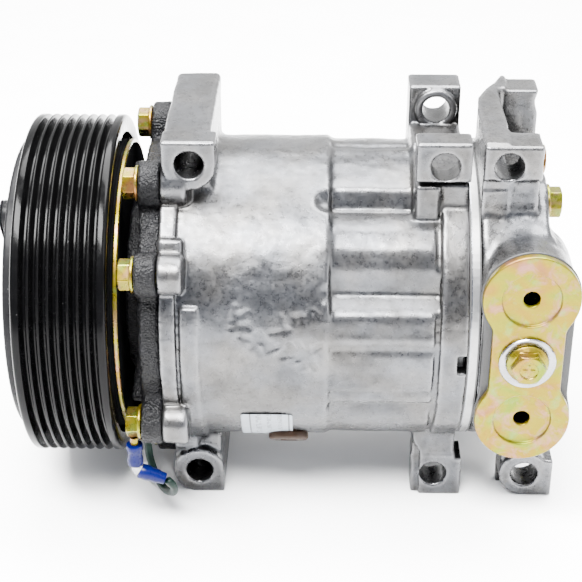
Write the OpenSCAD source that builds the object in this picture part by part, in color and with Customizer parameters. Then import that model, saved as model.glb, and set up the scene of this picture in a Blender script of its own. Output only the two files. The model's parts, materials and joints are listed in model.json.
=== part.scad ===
// Automotive air conditioning compressor: seven cylinder wobble plate type, with a
// multi-groove magnetic clutch pulley and ear mounts.
// Millimetres. Every module is drawn about the shaft axis; place() then moves the whole
// to the part's own frame: +X along the shaft from the pulley to the cylinder head,
// -Y towards the port side, +Z up, origin under the middle of the part at its feet.

/* [Pulley and clutch] */
// Outer diameter over the belt flanges
pulley_d = 132; // [128:1:134]
// Number of belt grooves
groove_count = 8; // [5:1:8]
// Distance from one groove to the next
groove_pitch = 3.56; // [3.4:0.02:3.7]
// Air gap between the armature plate and the pulley face
air_gap = 0.5; // [0.3:0.1:0.8]

/* [Housing] */
// Diameter of the crankcase barrel
barrel_d = 117.2; // [115:0.2:119]
// Diameter of the rear flange and the head
head_d = 115; // [112:1:117]
// Height of the ear holes above and below the shaft
ear_z = 66; // [64:1:68]
// Diameter of the ear holes
ear_hole_d = 10.4; // [8.4:0.2:11]
// Half of the distance between the outer ear faces
ear_half = 35; // [33:1:37]
// Height of the feet below the shaft
foot_z = 76; // [75:1:78]
// Diameter of the shaft
shaft_d = 20; // [18:1:20]

/* [Pumping parts] */
// Bore of one cylinder
bore_d = 29.3; // [28:0.1:30]
// Radius of the circle through the cylinder centres
bore_circle_r = 38; // [37.5:0.1:38.5]
// Number of cylinders
cylinder_count = 7; // [7:1:7]
// Tilt of the wobble plate
plate_tilt = 24.3; // [20:0.1:24.6]
// Centre distance of the two balls of a rod
rod_length = 52; // [51.5:0.1:52.5]

/* [Ports] */
// Distance between the two port centres
port_span = 50; // [46:1:52]
// Diameter of the round ends of the port cap plate
cap_d = 35; // [33:1:37]

/* [Hidden] */
$fn = 64;
eps = 0.02;

// Stations along the shaft
front_tip_x = -112;
pulley_x0 = -99;
pulley_x1 = -65;
coil_plate_x0 = -64;
coil_plate_x1 = -62;
shoulder_x = -55;
flange_x = -47;
barrel_x1 = 14;
bores_x0 = 6;
rear_flange_x = 52;
block_x1 = 64;
reed_x = 64.6;
plate_x = 65;
head_gasket_x = 67.4;
head_x0 = 68;
head_x1 = 93;
rear_tip_x = 103;

// Port side
port_x = 85.2;
port_mid_z = 1;
port_face_y = -55;
cap_y0 = -59;
cap_y1 = -56;
port_ends = [port_mid_z + port_span / 2, port_mid_z - port_span / 2];

// Port cap: washer, bolt and the dishes round its two small holes
washer_t = 1.4;
washer_r = 10.25;
cap_bolt_r = 4;
cap_hole_r = 4.3;
cap_neck = 26;
gasket_neck = 28;
dish_r = 10.5;
dish_depth = 1.2;

// Ears: holes along Y, lug ends, and how far lugs reach in towards the shaft
ear_top = ear_z + 9;
ear_root = 40;
front_ear_x = [-46, -27];
front_ear_hole_x = -36.3;
block_upper_x = [44, 63.9];
block_upper_hole_x = 54.5;
block_lower_x = [47, 63.9];
block_lower_hole_x = 56;
head_upper_x = [68.1, 89];
head_upper_hole_x = 77;
head_upper_hole_y = -10;
head_far_x = [80, 94];
head_lower_x = [82, rear_tip_x];
head_lower_hole_x = 92;
near_in_y = -22;
far_in_y = 21;

// Oil plug, low on the port side of the barrel
oil_a = 232;
oil_x = -1;
oil_seat_r = 57.9;
oil_thread_r = 5;
oil_head_r = 7.7;

// Relief valve, on the far side of the head
relief_a = 20;
relief_x = 80;
relief_r = 4;

// Pulley bearing
race_x0 = -92;
race_x1 = -72;
race_out_r = 27.5;
ball_circle_r = 22.5;
ball_rows = [race_x0 + 5.5, race_x1 - 5.5];

// Leaf springs and their outer rivets
spring_x0 = -107.3;
spring_x1 = -106.5;
rivet_r = 46;

// Coil
coil_out_r = 56.5;
coil_x0 = -88;
winding_out_r = 54;
winding_in_r = 38;

// Head chambers
chamber_out_r = 53;
rib_out_r = 40;
chamber_in_r = 36;
chamber_end_x = 88;
port_r = 8;

// Valves
reed_t = 0.4;
suction_r = bore_circle_r + 6;
discharge_r = bore_circle_r - 8;

// Frame offset
mid_x = (front_tip_x + rear_tip_x) / 2;

// Bolt places, as angles about the shaft from +Y towards +Z
front_bolt_r = 63;
front_boss_r = 8;
front_bolt_end = -43;
front_bolt_a = [69, 117, 149, 207, 259, 318, 22];
head_bolt_r = 50;
cyl_step = 360 / cylinder_count;
head_bolt_a0 = 113;
head_bolt_end = 54;
cyl_a0 = head_bolt_a0 + cyl_step / 2;
bolt_r = 3;
bolt_hex = 10;
bolt_washer_r = 6.6;
bolt_washer_t = 1.2;
bolt_head_t = 5.6;
bolt_clear_r = 3.3;
bolt_tap_r = 3.05;
function cyl_a(i) = cyl_a0 + i * cyl_step;

// Wobble mechanism: centre of tilt, and the plate ball circle that keeps each ball's
// sideways path a circle about its own bore
tilt_x = -17;
plate_ball_r = 2 * bore_circle_r / (1 + cos(plate_tilt));
side_r = plate_ball_r * (1 - cos(plate_tilt)) / 2;
rod_reach = sqrt(rod_length * rod_length - side_r * side_r);
piston_r = bore_d / 2 - 0.15;
crown = 12;
skirt = 10;
plate_ball_d = 10;
piston_ball_d = 10;
rod_d = 6.4;
// Ball centres at rest, for cylinder i
function plate_ball(i) = [
    tilt_x + plate_ball_r * sin(plate_tilt) * sin(cyl_a(i)),
    plate_ball_r * cos(cyl_a(i)),
    plate_ball_r * cos(plate_tilt) * sin(cyl_a(i))];
function piston_ball(i) = [
    plate_ball(i)[0] + rod_reach,
    bore_circle_r * cos(cyl_a(i)),
    bore_circle_r * sin(cyl_a(i))];

// Bevel gears under the plate
pivot_d = 12;
gear_teeth = 18;
gear_cone = plate_tilt / 2;
tooth_r0 = 8.5;
tooth_r1 = 15.3;

// Node names, one for each sub-part

// ---- helpers ----

module place() {
    translate([-mid_x, 0, foot_z]) children();
}

// Round bar along X, and a tube along X
module xcyl(x0, x1, r) {
    translate([x0, 0, 0]) rotate([0, 90, 0]) cylinder(h = x1 - x0, r = r);
}

module xtube(x0, x1, r_out, r_in) {
    difference() {
        xcyl(x0, x1, r_out);
        xcyl(x0 - 1, x1 + 1, r_in);
    }
}

// Round bar along Y at (x, z)
module ycyl(x, z, y0, y1, r) {
    translate([x, y0, z]) rotate([-90, 0, 0]) cylinder(h = y1 - y0, r = r);
}

// A box given by its low and high corners
module block(lo, hi) {
    translate(lo) cube(hi - lo);
}

// Children drawn at (x, 0, 0) are carried out to radius r at angle a about the shaft
module around(a, r) {
    rotate([a, 0, 0]) translate([0, r, 0]) children();
}

// The same at every head bolt, and at every cylinder
module at_head_bolts() {
    for (i = [0:cylinder_count - 1]) around(head_bolt_a0 + i * cyl_step, head_bolt_r) children();
}

module at_cylinders(r) {
    for (i = [0:cylinder_count - 1]) around(cyl_a(i), r) children();
}

// The same at every front bolt
module at_front_bolts() {
    for (a = front_bolt_a) around(a, front_bolt_r) children();
}

// Six-sided head along X
module hex_head(x0, x1, across) {
    translate([x0, 0, 0]) rotate([0, 90, 0])
        cylinder(h = x1 - x0, r = across / sqrt(3), $fn = 6);
}

// A shape whose own Z is turned to the shaft's X
module along_x() {
    rotate([0, 90, 0]) children();
}

// The tilted frame of the wobble plate: local Z is the plate's normal
module tilted() {
    translate([tilt_x, 0, 0]) rotate([0, plate_tilt, 0]) rotate([0, 90, 0]) children();
}

// Tube swept along points, as one closed surface
function unit(v) = v / norm(v);
function tangent(p, i) = unit(p[min(i + 1, len(p) - 1)] - p[max(i - 1, 0)]);
function ring_points(c, t, up, r, sides) =
    let (side = unit(cross(up, t)), top = cross(t, side))
    [for (k = [0:sides - 1])
        c + r * (cos(k * 360 / sides) * side + sin(k * 360 / sides) * top)];
module tube(points, r, sides, up) {
    n = len(points);
    rings = [for (i = [0:n - 1])
        each ring_points(points[i], tangent(points, i), up, r, sides)];
    sides_faces = [for (i = [0:n - 2]) for (k = [0:sides - 1])
        let (a = i * sides + k, b = i * sides + (k + 1) % sides)
        each [[a, b, b + sides], [a, b + sides, a + sides]]];
    caps = [[for (k = [sides - 1:-1:0]) k], [for (k = [0:sides - 1]) (n - 1) * sides + k]];
    // Faces are listed the other way round, so that they look outward
    flipped = [for (f = concat(sides_faces, caps)) [for (k = [len(f) - 1:-1:0]) f[k]]];
    polyhedron(points = rings, faces = flipped);
}

// Smooth curve through hand-set points
function curve_at(p, u) =
    let (n = len(p) - 1, i = min(floor(u), n - 1), t = u - i,
         a = p[max(i - 1, 0)], b = p[i], c = p[i + 1], d = p[min(i + 2, n)])
    0.5 * (2 * b + t * (c - a) + t * t * (2 * a - 5 * b + 4 * c - d)
        + t * t * t * (3 * b - a - 3 * c + d));
function curve(p, steps) = [for (k = [0:steps]) curve_at(p, k * (len(p) - 1) / steps)];

// ---- housing ----

module front_housing() {
    color("#1c1c1d") difference() {
        union() {
            xcyl(-97, coil_plate_x1, 17.5);
            xcyl(coil_plate_x1, shoulder_x, 34);
            xcyl(shoulder_x, flange_x, 57);
            at_front_bolts() xcyl(shoulder_x, flange_x, front_boss_r);
            xtube(flange_x - eps, -42, 52.3, 46);
        }
        xcyl(-98, -40, 10.5);
        xcyl(-98, -78, 13.5);
        xcyl(-70, -50, 14);
        xcyl(-53, -40, 33);
        xtube(-46.2, -43.2, 54, 50);
        at_front_bolts() xcyl(-60, -40, bolt_clear_r);
    }
}

// One lug of an ear, above (side 1) or below (side -1) the shaft
module ear(x, y0, y1, side, reach = ear_root) {
    z_out = side * (side > 0 ? ear_top : foot_z);
    z_in = side * reach;
    block([x[0], y0, min(z_out, z_in)], [x[1], y1, max(z_out, z_in)]);
}

module ear_hole(x, side) {
    ycyl(x, side * ear_z, -ear_half - 1, ear_half + 1, ear_hole_d / 2);
}

module cylinder_bores(x0, x1, r) {
    at_cylinders(bore_circle_r) xcyl(x0, x1, r);
}

module cylinder_block() {
    color("#b9bab8") difference() {
        union() {
            xcyl(flange_x, barrel_x1, barrel_d / 2);
            xcyl(barrel_x1 - eps, rear_flange_x + eps, 50);
            cylinder_bores(barrel_x1 - eps, rear_flange_x + eps, 19);
            xcyl(rear_flange_x, block_x1, head_d / 2 + 0.5);
            at_front_bolts() xcyl(flange_x, -38, front_boss_r);
            ear(front_ear_x, -ear_half, ear_half, 1);
            ear(front_ear_x, -ear_half, ear_half, -1);
            ear(block_upper_x, -ear_half, -24, 1);
            ear(block_upper_x, far_in_y, ear_half, 1);
            ear(block_lower_x, -ear_half, near_in_y, -1);
            // The near lower lug runs on under the valve plate
            ear([block_lower_x[0], 67], -ear_half, near_in_y, -1, 59.5);
            ear(block_lower_x, far_in_y, ear_half, -1);
        }
        xcyl(flange_x - 1, bores_x0, 52.5);
        cylinder_bores(bores_x0 - 1, block_x1 + 1, bore_d / 2);
        xcyl(0, 46, 7);
        at_front_bolts() xcyl(-48, -40, bolt_r);
        at_head_bolts() xcyl(head_bolt_end - 1, block_x1 + 1, bolt_tap_r);
        ear_hole(front_ear_hole_x, 1);
        ear_hole(front_ear_hole_x, -1);
        ear_hole(block_upper_hole_x, 1);
        ear_hole(block_lower_hole_x, -1);
        oil_hole();
    }
}

// Children drawn along Z point out of the barrel at the oil plug
module at_oil_plug() {
    translate([oil_x, 0, 0])
        rotate([oil_a - 90, 0, 0])
            children();
}

// Tapped hole and spot face for the oil plug
module oil_hole() {
    at_oil_plug() {
        translate([0, 0, 50]) cylinder(h = 12, r = oil_thread_r + 0.05);
        translate([0, 0, oil_seat_r]) cylinder(h = 5, r = oil_head_r + 0.2);
    }
}

module oil_plug() {
    color("#5a4034") at_oil_plug() {
        translate([0, 0, 53]) cylinder(h = 7, r = oil_thread_r);
        translate([0, 0, oil_seat_r]) cylinder(h = 3.8, r = oil_head_r);
    }
}

// Disc with the head bolts' clearance holes
module drilled_disc(x0, x1, r) {
    difference() {
        xcyl(x0, x1, r);
        at_head_bolts() xcyl(x0 - 1, x1 + 1, bolt_clear_r);
    }
}

module block_gasket() {
    color("#2b2b2b") difference() {
        drilled_disc(block_x1, reed_x, head_d / 2);
        cylinder_bores(block_x1 - 1, reed_x + 1, bore_d / 2 + 0.2);
    }
}

// Tongue cut free on three sides
module tongue_slot(x0, x1) {
    difference() {
        translate([0, 4, 0]) xcyl(x0, x1, 6.6);
        translate([0, 4, 0]) xcyl(x0 - 1, x1 + 1, 5.6);
        block([x0 - 1, -12, -5.6], [x1 + 1, 0, 5.6]);
    }
}

module suction_reeds() {
    color("#c9ccd0") difference() {
        drilled_disc(reed_x, plate_x, head_d / 2);
        at_cylinders(bore_circle_r) tongue_slot(reed_x - 1, plate_x + 1);
        at_cylinders(discharge_r) xcyl(reed_x - 1, plate_x + 1, 2.6);
    }
}

module valve_plate() {
    color("#8d9094") difference() {
        drilled_disc(plate_x, head_gasket_x, head_d / 2);
        at_cylinders(discharge_r) xcyl(plate_x - 1, head_x0, 2.5);
        at_cylinders(suction_r) xcyl(plate_x - 1, head_x0, 3.2);
    }
}

module discharge_reeds() {
    color("#c9ccd0") difference() {
        union() {
            xcyl(head_gasket_x, head_gasket_x + reed_t, 14);
            at_cylinders(0) block([head_gasket_x, 10, -4], [head_gasket_x + reed_t, discharge_r, 4]);
            at_cylinders(discharge_r) xcyl(head_gasket_x, head_gasket_x + reed_t, 4);
        }
        xcyl(head_gasket_x - 1, head_gasket_x + 1, 3);
    }
}

// Inner (discharge) and outer (suction) chambers, with the wall and bolt posts left out
module chambers(x0, x1) {
    difference() {
        xcyl(x0, x1, chamber_out_r);
        xtube(x0 - 1, x1 + 1, rib_out_r, chamber_in_r);
        at_head_bolts() xcyl(x0 - 1, x1 + 1, 6.2);
    }
}

module head_gasket() {
    color("#2b2b2b") difference() {
        xcyl(head_gasket_x, head_x0, head_d / 2);
        chambers(head_gasket_x - 1, head_x0 + 1);
        at_head_bolts() xcyl(head_gasket_x - 1, head_x0 + 1, bolt_clear_r);
    }
}

// Slanting rib between the near and the far upper ear of the head
module upper_rib() {
    front = head_upper_x[0];
    translate([0, 0, ear_root]) linear_extrude(ear_top - ear_root) polygon([
        [front, -ear_half], [front + 9, -ear_half], [82, 30], [82, ear_half],
        [80.6, ear_half], [77, 26.5], [73, 19.5], [70, 12], [front, 0]]);
}

module cylinder_head() {
    color("#c2c3c1") difference() {
        union() {
            difference() {
                xcyl(head_x0, head_x1, head_d / 2);
                chambers(head_x0 - 1, chamber_end_x);
            }
            for (z = port_ends) ycyl(port_x, z, port_face_y, -38, cap_d / 2 - 1);
            block([port_x - 13, port_face_y, port_ends[1]], [port_x + 13, -40, port_ends[0]]);
            ycyl(port_x - 3, port_ends[1], -44, -24, 12.3);
            ear(head_upper_x, -ear_half, -20, 1);
            ear(head_far_x, far_in_y, ear_half, 1);
            upper_rib();
            ear(head_lower_x, -ear_half, near_in_y, -1);
            ear(head_lower_x, far_in_y, ear_half, -1);
        }
        ycyl(port_x - 3, port_ends[0], -60, -37, port_r);
        ycyl(port_x - 3, port_ends[1], -60, -23, port_r);
        ycyl(port_x, port_mid_z, -56, -45, cap_bolt_r + 0.05);
        at_head_bolts() {
            xcyl(head_x0 - 1, head_x1 + 1, bolt_clear_r);
            // Spot face
            xcyl(head_x1 - 0.05, rear_tip_x + 1, 7.4);
        }
        ycyl(head_upper_hole_x, ear_z, -ear_half - 1, head_upper_hole_y, ear_hole_d / 2);
        ear_hole(head_lower_hole_x, -1);
        // Flat that the port cap seats on
        block([head_x0 - 1, -head_d, port_ends[1] - cap_d / 2 - 1],
            [rear_tip_x + 1, port_face_y, port_ends[0] + cap_d / 2 + 1]);
        relief_hole();
    }
}

// Children drawn along Z point out of the head at the relief valve, from radius r
module at_relief(r) {
    rotate([relief_a, 0, 0])
        translate([relief_x, r, 0])
            rotate([-90, 0, 0])
                children();
}

module relief_hole() {
    at_relief(50) cylinder(h = 12, r = relief_r + 0.05);
}

module relief_valve() {
    shank = 6.5;
    hex_t = 5;
    color("#c8b25a") at_relief(51) {
        cylinder(h = shank, r = relief_r);
        translate([0, 0, shank]) cylinder(h = hex_t, r = 13 / sqrt(3), $fn = 6);
        translate([0, 0, shank + hex_t]) cylinder(h = 3, r = 4.5);
    }
}

module front_o_ring() {
    color("#202020") along_x() translate([0, 0, -44.7])
        rotate_extrude() translate([51.2, 0]) circle(r = 1.1, $fn = 24);
}

module front_bolts() {
    seat = shoulder_x - bolt_washer_t;
    color("#d2c168") at_front_bolts() {
        xtube(seat, shoulder_x, bolt_washer_r, bolt_r + 0.2);
        hex_head(shoulder_x - bolt_head_t, seat, bolt_hex);
        xcyl(seat, front_bolt_end, bolt_r);
    }
}

module head_bolts() {
    seat = head_x1 + bolt_washer_t;
    color("#d2c168") at_head_bolts() {
        xtube(head_x1, seat, bolt_washer_r, bolt_r + 0.2);
        hex_head(seat, head_x1 + 5, bolt_hex);
        xcyl(head_bolt_end, seat, bolt_r);
    }
}

module shaft_seal() {
    color("#3a3a3c") {
        xtube(-96, -88, 13.45, shaft_d / 2 + 0.1);
        xtube(-87.5, -80, 13.45, shaft_d / 2 + 0.3);
    }
}

module needle_bearing() {
    color("#aab0b8") {
        xtube(-68, -52, 14, 12.6);
        for (i = [0:17]) around(i * 20, 11.3) xcyl(-67, -53, 1.15);
    }
}

// ---- bevel gears and pivot ----

// Cone faced gear blank with radial teeth; local Z looks at the other gear
module bevel_gear(back, phase, hole) {
    slope = tan(gear_cone);
    root = 1.1;
    difference() {
        union() {
            rotate_extrude() polygon([
                [hole, -back], [tooth_r1 + 0.4, -back],
                [tooth_r1 + 0.4, -(tooth_r1 + 0.4) * slope - root],
                [hole, -hole * slope - root]]);
            for (k = [0:gear_teeth - 1]) rotate([0, 0, k * 360 / gear_teeth + phase])
                rotate([0, gear_cone, 0])
                    block([tooth_r0, -0.65, -root - 0.4], [tooth_r1, 0.65, 0.6]);
        }
        sphere(r = pivot_d / 2 + 0.3);
    }
}
module pivot_ball() {
    color("#d6d8da") translate([tilt_x, 0, 0]) sphere(d = pivot_d);
}

module fixed_gear() {
    color("#7d8186") translate([tilt_x, 0, 0]) rotate([0, -90, 0]) bevel_gear(9, 0, 4);
    color("#7d8186") difference() {
        xcyl(tilt_x + 8.9, 30, 6.7);
        xcyl(tilt_x + 8, 31, 2);
    }
}

module gear_spring() {
    turns = 5;
    color("#6f7378") tube([for (k = [0:turns * 12]) [
        32 + 12 * k / (turns * 12), 4.6 * cos(k * 30), 4.6 * sin(k * 30)]],
        0.8, 8, [1, 0, 0]);
}

// ---- ports ----

module cap_outline(y0, y1, r, neck) {
    for (z = port_ends) ycyl(port_x, z, y0, y1, r);
    block([port_x - neck / 2, y0, port_ends[1]], [port_x + neck / 2, y1, port_ends[0]]);
}

module port_cap_plate() {
    color("#cdbb6d") difference() {
        cap_outline(cap_y0, cap_y1, cap_d / 2, cap_neck);
        for (z = port_ends) {
            ycyl(port_x, z, cap_y0 - 1, cap_y0 + dish_depth, dish_r);
            ycyl(port_x, z, cap_y0 - 1, cap_y1 + 1, 3);
        }
        ycyl(port_x, port_mid_z, cap_y0 - 1, cap_y1 + 1, cap_hole_r);
    }
}

module cap_gasket() {
    color("#1b1b1b") difference() {
        cap_outline(cap_y1, port_face_y, cap_d / 2, gasket_neck);
        for (z = port_ends) ycyl(port_x, z, cap_y1 - 1, port_face_y + 1, 11);
        ycyl(port_x, port_mid_z, cap_y1 - 1, port_face_y + 1, 4.5);
    }
}

module cap_washer() {
    color("#dfe2e6") difference() {
        ycyl(port_x, port_mid_z, cap_y0 - washer_t, cap_y0, washer_r);
        ycyl(port_x, port_mid_z, cap_y0 - washer_t - 1, cap_y0 + 1, cap_hole_r);
    }
}

module cap_bolt() {
    color("#d2b95c") {
        translate([port_x, cap_y0 - washer_t, port_mid_z]) rotate([90, 0, 0]) {
            cylinder(h = 1.1, r = 7.6);
            cylinder(h = 5, r = 11 / sqrt(3), $fn = 6);
        }
        ycyl(port_x, port_mid_z, cap_y0 - washer_t - 0.1, -46, cap_bolt_r);
    }
}

// ---- clutch ----

module field_coil() {
    color("#c9b75e") difference() {
        union() {
            xcyl(coil_x0, coil_plate_x0 + eps, coil_out_r);
            xcyl(coil_plate_x0, coil_plate_x1, coil_out_r);
        }
        xtube(coil_x0 - 1, coil_plate_x0 - 2, winding_out_r, winding_in_r);
        xcyl(coil_x0 - 1, coil_plate_x0, 35);
        xcyl(-70, -60, 17.6);
    }
}

module coil_winding() {
    color("#3b2a20") xtube(coil_x0 + 0.5, coil_plate_x0 - 2, winding_out_r, winding_in_r);
}

// The lead leaves the back of the coil, hangs under the housing and comes back to the
// blue sleeve; both its ends are held
lead_points = [
    [-61.9, -28, -43], [-59.9, -28, -43], [-58, -29, -46], [-57, -31, -52], [-56, -34, -60],
    [-53, -39, -66], [-49, -46, -67], [-45, -53, -63], [-44.5, -56, -58], [-46.5, -57, -54.5]];
lead_r = 1.5;
sleeve_r = 3;

module coil_lead() {
    color("#16302a") tube(curve(lead_points, 40), lead_r, 10, [0, 1, 0.3]);
}

// Round bar between two points
module bar(p, q, r) {
    v = q - p;
    len_v = norm(v);
    translate(p)
        rotate([0, acos(v[2] / len_v), atan2(v[1], v[0])])
            cylinder(h = len_v, r = r);
}

module lead_terminals() {
    top = [-58.3, -57, -38];
    mid = [-58.3, -57, -47];
    joint_low = [-57.4, -57, -50.2];
    end = [-47.6, -57, -53.8];
    color("#2b3fb0") {
        bar(top, mid, sleeve_r);
        bar(joint_low + 0.08 * (end - joint_low), end, sleeve_r);
    }
    color("#d8dade") intersection() {
        bar(mid, joint_low, 2.2);
        block([-70, -70, joint_low[2] + 0.6], [-40, -40, mid[2]]);
    }
    color("#d2c168") bar([-58.3, -57, -34.9], top, 1.6);
}

// Cutter for one belt groove
module groove(x) {
    mouth = groove_pitch / 2 - 0.2;
    outer = pulley_d / 2 + 1;
    root = pulley_d / 2 - 4.4;
    rotate_extrude()
        polygon([[outer, x - mouth], [outer, x + mouth], [root, x + 0.5], [root, x - 0.5]]);
}

module pulley() {
    mid = (pulley_x0 + pulley_x1) / 2;
    rim_in_r = 58;
    color("#111112") difference() {
        union() {
            xtube(pulley_x0, pulley_x1, pulley_d / 2, rim_in_r);
            xtube(pulley_x0, -91, rim_in_r + eps, race_out_r);
            xtube(pulley_x0, race_x1, 33, race_out_r);
        }
        for (k = [0:groove_count - 1]) along_x()
            groove(mid + (k - (groove_count - 1) / 2) * groove_pitch);
        for (k = [0:5]) rotate([k * 60, 0, 0])
            block([pulley_x0 - 1, 36, -11], [-90, 39, 11]);
    }
}

module race_groove(x) {
    along_x() translate([0, 0, x])
        rotate_extrude() translate([ball_circle_r, 0]) circle(r = 3.2, $fn = 32);
}

module bearing_inner_race() {
    color("#c6cacf") difference() {
        xtube(race_x0, race_x1, 20.8, 17.5);
        for (x = ball_rows) race_groove(x);
    }
}

module bearing_outer_race() {
    color("#c6cacf") difference() {
        xtube(race_x0, race_x1, race_out_r, 24.2);
        for (x = ball_rows) race_groove(x);
    }
}

module bearing_balls() {
    count = 12;
    color("#d9dcdf") for (x = ball_rows) for (k = [0:count - 1])
        around(k * 360 / count, ball_circle_r) translate([x, 0, 0]) sphere(r = 2.9);
    color("#8a7a3a") for (x = ball_rows) difference() {
        xtube(x - 1.2, x + 1.2, 23.3, 21.7);
        for (k = [0:count - 1])
            around(k * 360 / count, ball_circle_r) translate([x, 0, 0]) sphere(r = 3.0);
    }
}

module shaft() {
    color("#a9adb2") {
        xcyl(front_tip_x, -100, 5);
        xcyl(-104, -40, shaft_d / 2);
    }
}

// Cam rotor: thrust face to the front, tilted face to the rear
module cam_rotor() {
    color("#8b8f94") difference() {
        intersection() {
            union() {
                xcyl(-49.4, -45, 31);
                xcyl(-45 - eps, 10, 36);
            }
            tilted() translate([0, 0, -210.3]) cylinder(h = 200, r = 120);
        }
        xcyl(-50, -40, shaft_d / 2);
    }
}

module clutch_hub() {
    color("#2a2a2c") difference() {
        union() {
            xcyl(-106.5, -97.5, 15);
            xcyl(-106.5, -104, 24);
        }
        xcyl(-110, -97, shaft_d / 2);
    }
}

module shaft_nut() {
    color("#d2c168") difference() {
        union() {
            xtube(-107.6, -104, 9, 5);
            hex_head(-111.5, -107.6, 14);
        }
        xcyl(-113, -103, 5);
    }
}

module leaf_springs() {
    half_w = 6;
    rivet_x = spring_x0 - 1.3;
    color("#19191a") for (k = [0:2]) rotate([k * 120, 0, 0]) {
        difference() {
            union() {
                block([spring_x0, -4, -half_w], [spring_x1, rivet_r, half_w]);
                around(0, rivet_r) xcyl(spring_x0, spring_x1, half_w);
            }
            xcyl(spring_x0 - 1, spring_x1 + 1, 18);
        }
        around(0, 20.5) xcyl(rivet_x, spring_x0, 2.6);
        around(0, rivet_r) xcyl(rivet_x, spring_x0, 3.2);
    }
}

module armature_plate() {
    color("#17171a") difference() {
        union() {
            xtube(pulley_x0 - air_gap - 4, pulley_x0 - air_gap, 57, 27);
            for (k = [0:2])
                around(k * 120, rivet_r) xcyl(spring_x1, pulley_x0 - air_gap - 1, 6);
        }
        for (k = [0:2])
            rotate([k * 120 + 60, 0, 0]) block([-110, 42, -12], [-95, 45, 12]);
    }
}

// ---- rolling bearings inside ----

// Flat cage with rollers along its radii; local Z is the axis
module thrust_rollers(r0, r1, roller_r, count) {
    difference() {
        translate([0, 0, -0.6]) cylinder(h = 1.2, r = r1 + 1.5);
        translate([0, 0, -2]) cylinder(h = 4, r = r0 - 1.5);
        for (k = [0:count - 1]) rotate([0, 0, k * 360 / count])
            block([r0 - 0.2, -roller_r - 0.2, -2], [r1 + 0.2, roller_r + 0.2, 2]);
    }
    for (k = [0:count - 1]) rotate([0, 0, k * 360 / count])
        translate([r0, 0, 0]) rotate([0, 90, 0]) cylinder(h = r1 - r0, r = roller_r);
}

module front_thrust_bearing() {
    color("#b4b8bd") translate([-51.2, 0, 0]) along_x() thrust_rollers(18, 27, 1.6, 16);
}

module tilt_thrust_bearing() {
    color("#b4b8bd") tilted() translate([0, 0, -8.4]) thrust_rollers(21, 31, 1.7, 16);
}

// ---- wobble plate, rods and pistons ----

module planet_plate() {
    color("#9a9ea3") tilted() difference() {
        union() {
            difference() {
                translate([0, 0, -6.5]) cylinder(h = 5, r = 35);
                translate([0, 0, -5.6]) cylinder(h = 6, r = 17.6);
            }
            translate([0, 0, -8]) difference() {
                cylinder(h = 10, r = 47);
                translate([0, 0, -1]) cylinder(h = 12, r = 34.5);
            }
            bevel_gear(6.6, 180 / gear_teeth, 4);
            translate([0, 0, -9.6]) cylinder(h = 4, r = 18.5);
        }
        sphere(r = pivot_d / 2 + 0.3);
        for (i = [0:cylinder_count - 1]) rotate([0, 0, cyl_a(i) + 90])
            translate([plate_ball_r, 0, 0]) sphere(r = plate_ball_d / 2 + 0.3);
    }
}

module rod_ball(i) {
    color("#cfd2d5") translate(plate_ball(i)) sphere(d = plate_ball_d);
}

module rod(i) {
    p = plate_ball(i);
    q = piston_ball(i);
    v = q - p;
    color("#85898e") translate(p)
        rotate([0, acos(v[2] / norm(v)), atan2(v[1], v[0])]) {
            difference() {
                cylinder(h = rod_length - piston_ball_d / 4, r = rod_d / 2);
                sphere(r = plate_ball_d / 2 + 0.05);
            }
            translate([0, 0, rod_length]) sphere(d = piston_ball_d);
        }
}

module piston(i) {
    q = piston_ball(i);
    color("#c9cbcc") translate(q) {
        difference() {
            xcyl(-skirt, crown, piston_r);
            xcyl(-skirt - 1, -2, 11.5);
            sphere(r = piston_ball_d / 2 + 0.3);
            xtube(crown - 5, crown - 3, piston_r + 1, piston_r - 1.6);
        }
    }
    color("#55585c") translate(q)
        xtube(crown - 4.9, crown - 3.1, piston_r + 0.05, piston_r - 1.5);
}

// ---- output ----

place() front_housing();
place() cylinder_block();
place() cylinder_head();
place() valve_plate();
place() suction_reeds();
place() discharge_reeds();
place() block_gasket();
place() head_gasket();
place() front_o_ring();
place() front_bolts();
place() head_bolts();
place() shaft_seal();
place() needle_bearing();
place() fixed_gear();
place() pivot_ball();
place() gear_spring();
place() port_cap_plate();
place() cap_gasket();
place() cap_washer();
place() cap_bolt();
place() field_coil();
place() coil_winding();
place() bearing_inner_race();
place() coil_lead();
place() lead_terminals();
place() relief_valve();
place() oil_plug();
place() pulley();
place() bearing_outer_race();
place() bearing_balls();
place() shaft();
place() cam_rotor();
place() clutch_hub();
place() shaft_nut();
place() leaf_springs();
place() armature_plate();
place() front_thrust_bearing();
place() tilt_thrust_bearing();
place() planet_plate();
for (i = [0:cylinder_count - 1]) {
    place() rod_ball(i);
    place() rod(i);
    place() piston(i);
}
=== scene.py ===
"""Looks of the air conditioning compressor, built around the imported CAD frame.

Shapes are written in millimetres about the shaft axis, as in the CAD source: X runs along the
shaft from the pulley to the cylinder head, -Y points to the port side, +Z is up. to_row() carries
them to the frame's metres. Castings are modelled as clay: a lattice of distances that shapes are
added to and cut from, which is then meshed.
"""

import json
import math
from collections import namedtuple

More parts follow.
